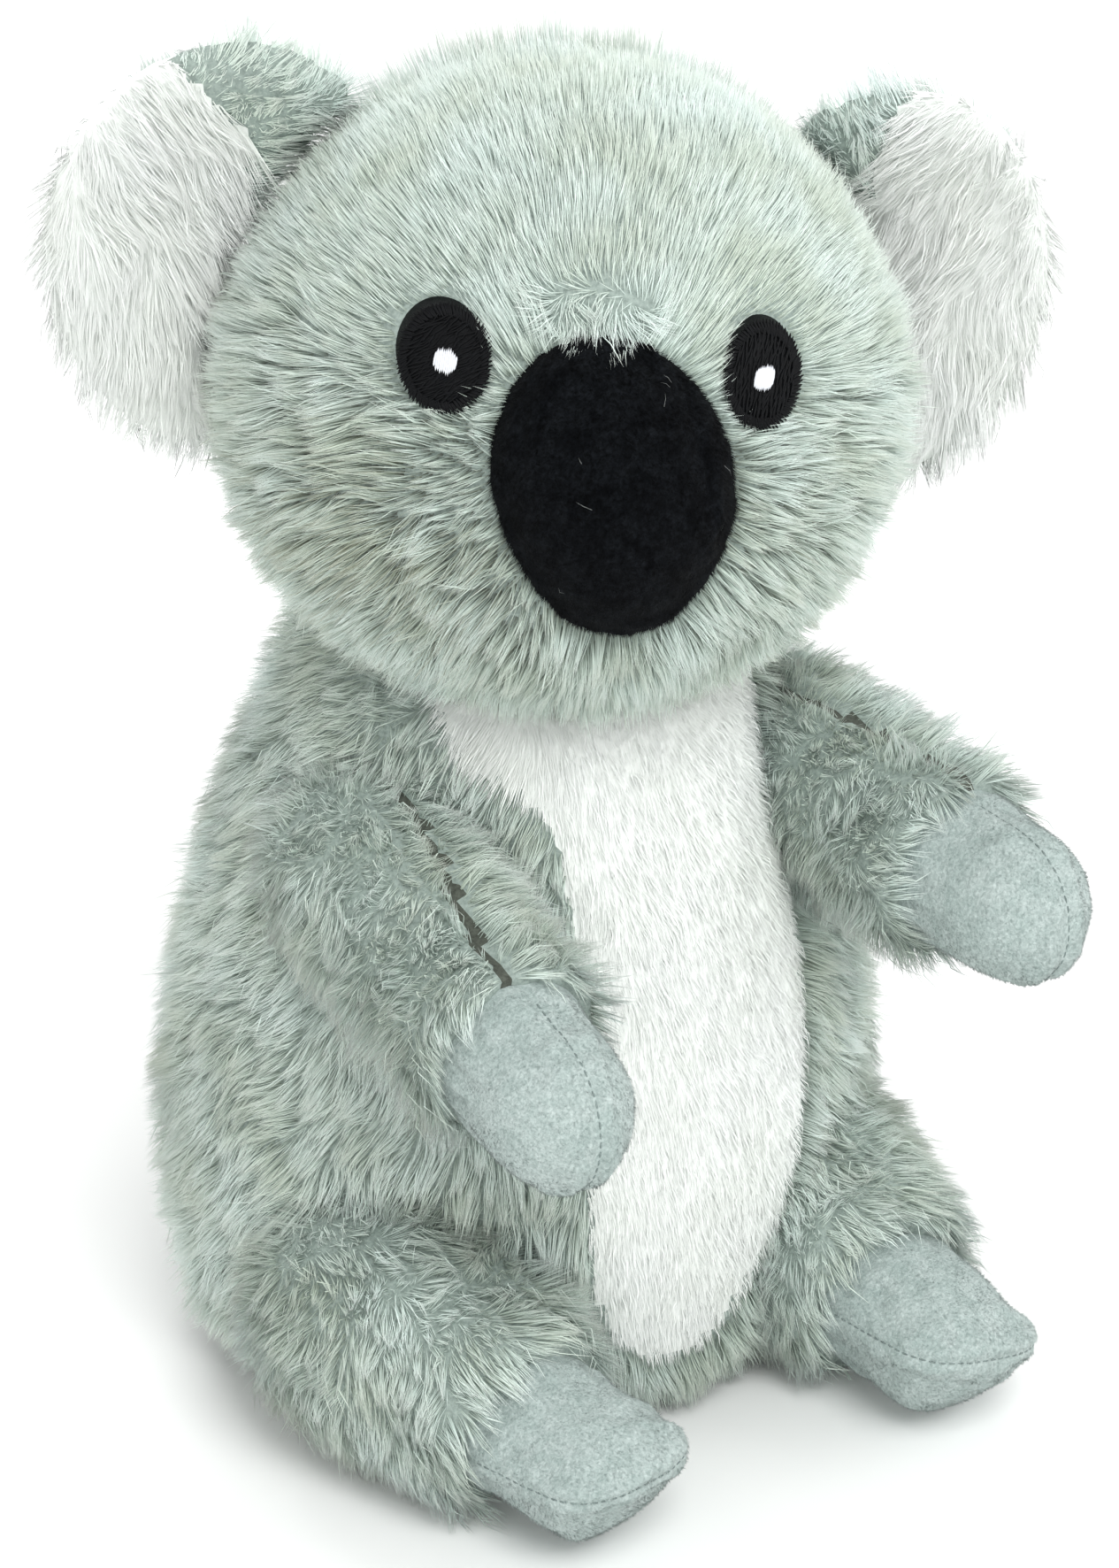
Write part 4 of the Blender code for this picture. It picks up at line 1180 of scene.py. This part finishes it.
def face_y(x, z):
    """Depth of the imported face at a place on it, in the head's frame."""
    share = z / HEAD_HEIGHT
    full = np.where(share < 0.5, 2.15, 2.0)
    spread = np.maximum(1 - np.abs(2 * share - 1) ** full, 0) ** (1 / full)
    face = smoothstep(0.14, 0.58, share)
    half_depth = spread * (HEAD_HALF_WIDTH - face * FACE_FLATTENED)
    round_share = np.sqrt(np.maximum(1 - (x / (HEAD_HALF_WIDTH * spread)) ** 2, 0))
    return -FACE_FORWARD * face - half_depth * round_share


def model_stitch():
    """A thread's visible loop: a six-sided grain with blunt ends, along z."""
    bpy.ops.object.select_all(action="DESELECT")
    bpy.ops.mesh.primitive_uv_sphere_add(segments=6, ring_count=4, radius=1)
    grain = bpy.context.object
    for vertex in grain.data.vertices:
        vertex.select = 0.3 < abs(vertex.co.z) < 0.9
    bpy.ops.object.mode_set(mode="EDIT")
    bpy.ops.mesh.select_mode(type="VERT")
    bpy.ops.transform.resize(value=(1.2, 1.2, 1.1), center_override=(0, 0, 0))
    bpy.ops.object.mode_set(mode="OBJECT")
    model = coords(grain), [tuple(face.vertices) for face in grain.data.polygons]
    bpy.data.objects.remove(grain)
    return model


stitch = model_stitch()
print("stitch faces:", len(stitch[1]))

# %% Lay stitches on the face
def sewn(name, middle, along, out, radius, half, material):
    """Stitches at middle that run along and bulge out, of that radius and half length."""
    out = unit(out - along * (out * along).sum(1, keepdims=True))
    across = np.cross(out, along)
    places = np.stack([middle + across * x * radius + out * y * radius + along * z * half
                       for x, y, z in stitch[0]], 1)
    uv = np.zeros((len(middle), len(stitch[0]), 2))
    return copies_mesh(name, stitch, places, None, uv, material)


def on_face(xz, height):
    """Places at a height over the face, from places across and up it."""
    y = face_y(xz[:, 0], xz[:, 1]) - height
    return neck + from_head(np.stack([xz[:, 0], y, xz[:, 1]], 1))


def lay(name, centers, ends, radius, height, material):
    """Stitches from centers towards ends, both (n, 2) places on the face."""
    middle = on_face(centers, height)
    along = on_face(ends, height) - middle
    half = np.linalg.norm(along, axis=1, keepdims=True)
    sideways = np.zeros((len(centers), 3))
    sideways[:, 0] = centers[:, 0] * 0.2 / EYE_FROM_MIDDLE
    out = unit(-neck_y + from_head(sideways))
    return sewn(name, middle, along / half, out, radius, half, material)


def oval_place(sign, u, v):
    """Places on the face from shares of an eye's half sizes."""
    tilt = sign * EYE_TILT
    x, z = u * EYE_HALF_WIDTH, v * EYE_HALF_HEIGHT
    middle_x, middle_z = eye_center(sign)
    return np.stack([middle_x + x * math.cos(tilt) - z * math.sin(tilt),
                     middle_z + x * math.sin(tilt) + z * math.cos(tilt)], 1)


# %% The padded oval under the stitches
def eye_base(side, sign):
    """A domed oval that reaches from under the skin up to the stitches."""
    bpy.ops.object.select_all(action="DESELECT")
    bpy.ops.mesh.primitive_circle_add(vertices=48, radius=1, fill_type="NGON")
    disc = bpy.context.object
    disc.name = f"{side}_eye_field"
    bpy.ops.object.mode_set(mode="EDIT")
    bpy.ops.mesh.select_all(action="SELECT")
    for thickness in (0.06, 0.24, 0.3):
        bpy.ops.mesh.inset(thickness=thickness)
    bpy.ops.mesh.poke()
    bpy.ops.object.mode_set(mode="OBJECT")
    apply_modifier(disc, "SOLIDIFY", thickness=1.0, offset=-1.0)
    p = coords(disc)
    top = p[:, 2] > -0.5
    from_middle = np.hypot(p[:, 0], p[:, 1])
    xz = oval_place(sign, p[:, 0] * 0.97, p[:, 1] * 0.97)
    dome = 0.0004 + 0.0010 * np.sqrt(np.maximum(1 - from_middle ** 2, 0))
    set_coords(disc, on_face(xz, np.where(top, dome, -0.0052)))
    only(disc)
    bpy.ops.object.mode_set(mode="EDIT")
    bpy.ops.mesh.select_all(action="SELECT")
    bpy.ops.mesh.normals_make_consistent(inside=False)
    bpy.ops.object.mode_set(mode="OBJECT")
    bpy.ops.object.shade_smooth_by_angle(angle=math.radians(50))
    disc.data.materials.clear()
    disc.data.materials.append(black_thread)
    return disc


# %% Stitch both eyes
# The thread's radius, the gap from one column of stitches to the next, the gap from
# one stitch to the next in a column, and how much later each column starts
THREAD, COLUMN_GAP, ROW_GAP, COLUMN_SHIFT = 0.00021, 0.00036, 0.0030, 0.0011
eye_pieces, highlight_pieces = {}, {}
for side, sign in (("right", -1), ("left", 1)):
    rows = []
    for column, x in enumerate(np.arange(-0.0098, 0.0098, COLUMN_GAP)):
        for row in np.arange(-0.0130, 0.0130, ROW_GAP):
            z = row + (column * COLUMN_SHIFT) % ROW_GAP + rng.normal(0, 0.0002)
            rows.append((x / EYE_HALF_WIDTH, z / EYE_HALF_HEIGHT))
    rows = np.array(rows)
    rows = rows[np.hypot(rows[:, 0], rows[:, 1]) < 0.80]
    lean = rng.normal(0.10, 0.04, len(rows))
    fill = lay(f"{side}_eye_fill", oval_place(sign, rows[:, 0], rows[:, 1]),
               oval_place(sign, rows[:, 0] + lean, rows[:, 1] + 0.135),
               THREAD, 0.0014, black_thread)
    angle = np.arange(0, math.tau, 0.042)
    outer = 0.99 + 0.05 * (np.arange(len(angle)) % 2) + rng.uniform(-0.02, 0.04, len(angle))
    inner = 0.78 + rng.uniform(-0.03, 0.03, len(angle))
    twist = angle + 0.05
    middle = (outer + inner) / 2
    border = lay(f"{side}_eye_border",
                 oval_place(sign, middle * np.cos(angle), middle * np.sin(angle)),
                 oval_place(sign, outer * np.cos(twist), outer * np.sin(twist)),
                 THREAD * 1.15, 0.0013, black_thread)
    eye_pieces[side] = [eye_base(side, sign), fill, border]
    across = np.arange(-0.0020, 0.00201, 0.00040)
    tall = 0.0024 * np.sqrt(1 - (across / 0.0026) ** 2)
    tall = tall + rng.uniform(-0.0002, 0.0003, len(across))
    places = np.array(eye_center(sign)) + np.stack([across, np.zeros(len(across))], 1)
    tops = places + np.stack([np.full(len(across), 0.0002), tall], 1)
    highlight_pieces[side] = [lay(f"{side}_eye_highlight_stitches", places, tops,
                                  THREAD * 1.35, 0.0020, white_thread)]
    print(side, "eye stitches:", len(rows) + len(angle) + len(across))

# %% [markdown]
# ## Paws and feet
# A paw is two panels of short pile sewn along its middle, a foot is a top and a sole
# that meet in a ridge across a blunt toe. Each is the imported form, closed and
# lengthened a little into its sleeve. A foot is drawn to its ridge, and then all
# four are swelled with air while their seams are held.

# %% Seam planes and the foot's ridge
# How far each foot is turned about its own leg, in degrees
ROLL = {"right_leg": 0.0, "left_leg": -12.0}
FOOT_HALF_WIDTH, FOOT_HALF_HEIGHT, RIDGE_SLOPE = 0.0215, 0.0190, 0.27
TOE_START, TOE_LENGTH = 0.018, 0.0190
SOLE_GAP = 0.0012


def seam_side(key, p):
    """Distance from the seam's plane: across a paw, or up from a foot's ridge."""
    q = limb_space(key, p)
    reach = limb_frames[key][2]
    if "arm" in key:
        return q[:, 0]
    turn = math.radians(ROLL[key])
    y = q[:, 1] * math.cos(turn) - q[:, 0] * math.sin(turn)
    return y - RIDGE_SLOPE * np.maximum(q[:, 2] - reach, 0)


def shape_foot(item, key):
    """Blunt toe, and a lens-shaped section whose ridge rises towards the toe."""
    place, axes, reach = limb_frames[key]
    q = limb_space(key, coords(item))
    x, y = q[:, 0] / FOOT_HALF_WIDTH, q[:, 1] / FOOT_HALF_HEIGHT
    z = (q[:, 2] - reach - TOE_START) / TOE_LENGTH
    ahead = np.maximum(z, 0)
    plain = np.hypot(x, ahead)
    square = (np.abs(x) ** 3 + ahead ** 3) ** (1 / 3)
    grow_out = np.where(z > 0, plain / np.maximum(square, 1e-6), 1.0)
    x, z = x * grow_out, np.where(z > 0, z * grow_out, z)
    rise = RIDGE_SLOPE * np.maximum(q[:, 2] - reach, 0) / FOOT_HALF_HEIGHT
    y = np.sign(y) * np.abs(y) ** 1.35 + rise * (1 - np.minimum(y * y, 1))
    q = np.stack([x * FOOT_HALF_WIDTH, y * FOOT_HALF_HEIGHT,
                  z * TOE_LENGTH + reach + TOE_START], 1)
    turn = math.radians(ROLL[key])
    q[:, 0], q[:, 1] = (q[:, 0] * math.cos(turn) - q[:, 1] * math.sin(turn),
                        q[:, 1] * math.cos(turn) + q[:, 0] * math.sin(turn))
    p = place + q @ axes
    p[:, 2] = np.maximum(p[:, 2], SOLE_GAP)
    set_coords(item, p)


# %% Pad the paws and feet
tips = {}
for key, (_, axes, reach) in limb_frames.items():
    side, limb = key.split("_")
    name = f"{side}_{'paw' if limb == 'arm' else 'foot'}"
    labels = [n for n in nodes if n.startswith(name)]
    tip = closed_copy(f"{name}_cushion", labels, FINE_VOXEL,
                      lengthen=tuple(-axes[2] * 0.005))
    if limb == "leg":
        shape_foot(tip, key)
        apply_modifier(tip, "REMESH", mode="VOXEL", voxel_size=FINE_VOXEL, adaptivity=0)
    apply_modifier(tip, "SMOOTH", factor=0.5, iterations=3)
    p = coords(tip)
    held = (np.abs(seam_side(key, p)) < 0.0016) | (limb_space(key, p)[:, 2] < reach)
    finish_skin(tip, even(tip, 0.0006), cap=0.0008, held=held, growth=0.08)
    p = coords(tip)
    groove = np.exp(-(seam_side(key, p) / 0.0011) ** 2) * (0.0007 if limb == "arm" else 0.0004)
    set_coords(tip, p - vertex_normals(tip) * groove[:, None])
    tip.data.materials.append(short_plush)
    skins[name] = tip
    tips[name] = (key, labels)

# %% Short pile on the paws and feet
for number, (name, (key, _)) in enumerate(tips.items()):
    axes, reach = limb_frames[key][1:]
    nap_way = axes[2] + np.array((0, 0, -0.3))
    pile[name] = nap(f"{name}_nap", name, per_mm2=2.0, length=0.0012, radius=NAP_RADIUS,
                     flow=lambda p, ups: np.tile(nap_way, (len(p), 1)),
                     material=short_plush, seed=700 + number,
                     keep=lambda p, ups: (limb_space(key, p)[:, 2] > reach - 0.001)
                     & (np.abs(seam_side(key, p)) > 0.0005) & (p[:, 2] > 0.002))
    print(name, "nap faces:", sum(len(m.data.polygons) for m in pile[name]))

# %% [markdown]
# ## Seam stitches
# The panels of the paws and feet are sewn from inside, and the thread shows only as
# short dark dips along the seam. The seam's line is found by cutting a copy of the
# cushion along its plane, and the grain of thread is laid along it.

# %% Sew the seams
def seam_line(item, key):
    """Points of the cushion's cut along its seam plane, in order round the tip."""
    copy = item.copy()
    copy.data = item.data.copy()
    scene.collection.objects.link(copy)
    place, axes, reach = limb_frames[key]
    if "arm" in key:
        normal = axes[0]
    else:
        turn = math.radians(ROLL[key])
        normal = unit(axes[1] * math.cos(turn) - axes[0] * math.sin(turn)
                      - RIDGE_SLOPE * axes[2])
    origin = place + axes[2] * reach
    only(copy)
    bpy.ops.object.mode_set(mode="EDIT")
    bpy.ops.mesh.select_all(action="SELECT")
    bpy.ops.mesh.bisect(plane_co=tuple(origin), plane_no=tuple(normal))
    bpy.ops.object.mode_set(mode="OBJECT")
    chosen = np.array([v.select for v in copy.data.vertices])
    p, ups = coords(copy)[chosen], vertex_normals(copy)[chosen]
    bpy.data.objects.remove(copy)
    ahead = limb_space(key, p)[:, 2] > reach + 0.002
    p, ups = p[ahead], ups[ahead]
    middle = place + axes[2] * (reach + 0.012)
    other = np.cross(normal, axes[2])
    angle = np.arctan2((p - middle) @ other, (p - middle) @ axes[2])
    order = np.argsort(angle)
    return p[order], ups[order]


seam_thread = cloth_material(
    "grey_sewing_thread", roughness=0.6, sheen=0.0, specular=0.3,
    fine=(2000.0, "#6C7A78", "#95A3A0"), smear=(300.0, "#E0E0E0", "#FFFFFF"), bump=0.1)
STITCH_STEP, STITCH_RADIUS, STITCH_HALF_LENGTH = 0.0023, 0.00022, 0.0008
seams = {}
for name, (key, _) in tips.items():
    line, ups = seam_line(skins[name], key)
    steps = np.concatenate([[0], np.cumsum(np.linalg.norm(np.diff(line, axis=0), axis=1))])
    marks = np.arange(0.0015, steps[-1], STITCH_STEP)
    centers = np.stack([np.interp(marks, steps, line[:, k]) for k in range(3)], 1)
    ahead = np.stack([np.interp(marks + 0.0006, steps, line[:, k]) for k in range(3)], 1)
    out = unit(np.stack([np.interp(marks, steps, ups[:, k]) for k in range(3)], 1))
    seams[name] = sewn(f"{name}_seam", centers, unit(ahead - centers), out,
                       STITCH_RADIUS, STITCH_HALF_LENGTH, seam_thread)
    print(name, "seam:", round(steps[-1] * 1000), "mm,", len(marks), "stitches")

# %% [markdown]
# ## Filling
# Inside is loose polyester fibre, pushed in by hand. It is never seen on a whole
# toy, but it is a piece of it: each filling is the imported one, a little slack in its
# bag and lumpy, with the soft uneven surface of teased fibre. In a foot it takes the
# foot's own lens-shaped section, or it would press through the sole.

# %% Lumpy filling
fillings = {}
for label in [n for n in nodes if n.endswith("_stuffing")]:
    lump = closed_copy(f"{label}_fibre", [label], COARSE_VOXEL, hull=False)
    p = coords(lump)
    depth = 0.0032 + 0.0008 * ripple(p, 0.02, 31) + 0.0004 * ripple(p, 0.008, 32)
    p = p - vertex_normals(lump) * depth[:, None]
    set_coords(lump, p)
    key = label.replace("_stuffing", "")
    if key in ROLL:
        reach = limb_frames[key][2]
        share = smoothstep(reach - 0.008, reach, limb_space(key, p)[:, 2])[:, None]
        shape_foot(lump, key)
        set_coords(lump, p + (coords(lump) - p) * share)
    only(lump)
    bpy.ops.object.shade_smooth()
    lump.data.materials.append(filling)
    fillings[label] = lump
print("fillings:", len(fillings))

# %% [markdown]
# ## What moves with what
# Each new piece rides on a body of the imported koala and stands for the packed
# pieces that it hides, so that a head that turns takes its pile, eyes and nose along.

# %% Ride and replace
def settle(items, body_name, slot, *labels):
    """Give pieces their body and hide the nodes they stand for; slot is not used."""
    for item in items:
        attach(item, body_name)
        if labels:
            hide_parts(*labels)


def back_with(item, second, wanted):
    """Grey backing, but a second one on the wanted faces."""
    item.data.materials.append(grey_backing)
    item.data.materials.append(second)
    count = len(item.data.polygons)
    centers, normals = np.empty(count * 3), np.empty(count * 3)
    item.data.polygons.foreach_get("center", centers)
    item.data.polygons.foreach_get("normal", normals)
    chosen = wanted(centers.reshape(-1, 3), normals.reshape(-1, 3))
    item.data.polygons.foreach_set("material_index", chosen.astype(np.int32))


skins["head"].data.materials.append(grey_backing)
back_with(skins["body"], white_backing, lambda p, ups: in_belly(p))
for side in ("right", "left"):
    back_with(skins[f"{side}_ear"], white_backing, lambda p, ups: is_white(side, p, ups))
# Along each arm's parted seam the backing is painted darker, as painted shade
for key in limb_frames:
    back_with(skins[key], painted_seam_shade_backing,
              lambda p, ups: at_parted_seam(key, p, PAINTED_SEAM_SHADE_WIDTH))
settle([skins["head"]], "head", "grey_long_pile", "face_cover", "head_back_cover")
settle([skins["body"]], "body", "grey_long_pile", "body_cover", "belly_panel")
settle(pile["head"], "head", "grey_long_pile", "face_cover", "head_back_cover")
settle(pile["body"], "body", "grey_long_pile", "body_cover")
settle(pile["belly"], "body", "white_long_pile", "belly_panel")
for side in ("right", "left"):
    ear = f"{side}_ear"
    settle([skins[ear]], ear, "white_long_pile", f"{ear}_front", f"{ear}_back")
    settle(pile[f"{ear}_front"], ear, "white_long_pile", f"{ear}_front")
    settle(pile[f"{ear}_back"], ear, "grey_long_pile", f"{ear}_back")
    settle(eye_pieces[side], "head", "black_thread", f"{side}_eye")
    settle(highlight_pieces[side], "head", "white_thread", f"{side}_eye_highlight")
for key in limb_frames:
    settle([skins[key], *pile[key]], key, "grey_long_pile", f"{key}_sleeve")
for name, (key, labels) in tips.items():
    settle([skins[name], *pile[name], seams[name]], key, "short_pile", *labels)
settle([nose, *pile["nose"]], "head", "black_velour", "nose_cover")
settle([lint], "head", "white_long_pile")
for label, lump in fillings.items():
    body_name = next(b for b, names in frame["record"]["behaviour"]["bodies"].items()
                     if label in names)
    settle([lump], body_name, "stuffing", label)

# %% [markdown]
# ## Studio
# The photograph is lit by broad, soft lamps in front of a white background. The
# floor is matt and nearly white. One large lamp high in front gives the soft shade
# under the chin and arms, a weaker one on each side fills it, and one from behind
# lights the edges of the pile.

# %% Floor and light
bpy.ops.object.select_all(action="DESELECT")
bpy.ops.mesh.primitive_plane_add(size=6, location=(0, 0, 0))
floor = bpy.context.object
floor.name = "floor"
floor_material, tree, shader = new_material("matt_white_floor", 0.9)
shader.inputs["Base Color"].default_value = linear("#F6F7F6")
floor.data.materials.append(floor_material)

world = bpy.data.worlds.new("studio")
scene.world = world
world.use_nodes = True
background = world.node_tree.nodes["Background"]
background.inputs["Color"].default_value = (1, 1, 1, 1)
background.inputs["Strength"].default_value = 0.70


def softbox(name, place, size, power):
    """A square lamp of that size in metres and power in watts, aimed at the toy."""
    lamp = bpy.data.lights.new(name, "AREA")
    lamp.size = size
    lamp.energy = power
    item = bpy.data.objects.new(name, lamp)
    scene.collection.objects.link(item)
    item.location = place
    aim = Vector((0, 0, 0.15)) - Vector(place)
    item.rotation_mode = "QUATERNION"
    item.rotation_quaternion = aim.to_track_quat("-Z", "Y")


LAMPS = (("key", (-0.4, -1.33, 1.7), 1.0, 24.5), ("fill", (1.3, -0.8, 0.9), 1.2, 7),
         ("side", (-1.4, -0.9, 0.5), 1.2, 5), ("rim", (0.3, 1.3, 1.3), 1.0, 12))
for lamp in LAMPS:
    softbox(*lamp)
scene.view_settings.view_transform = "Standard"
print("lamps:", len(LAMPS))
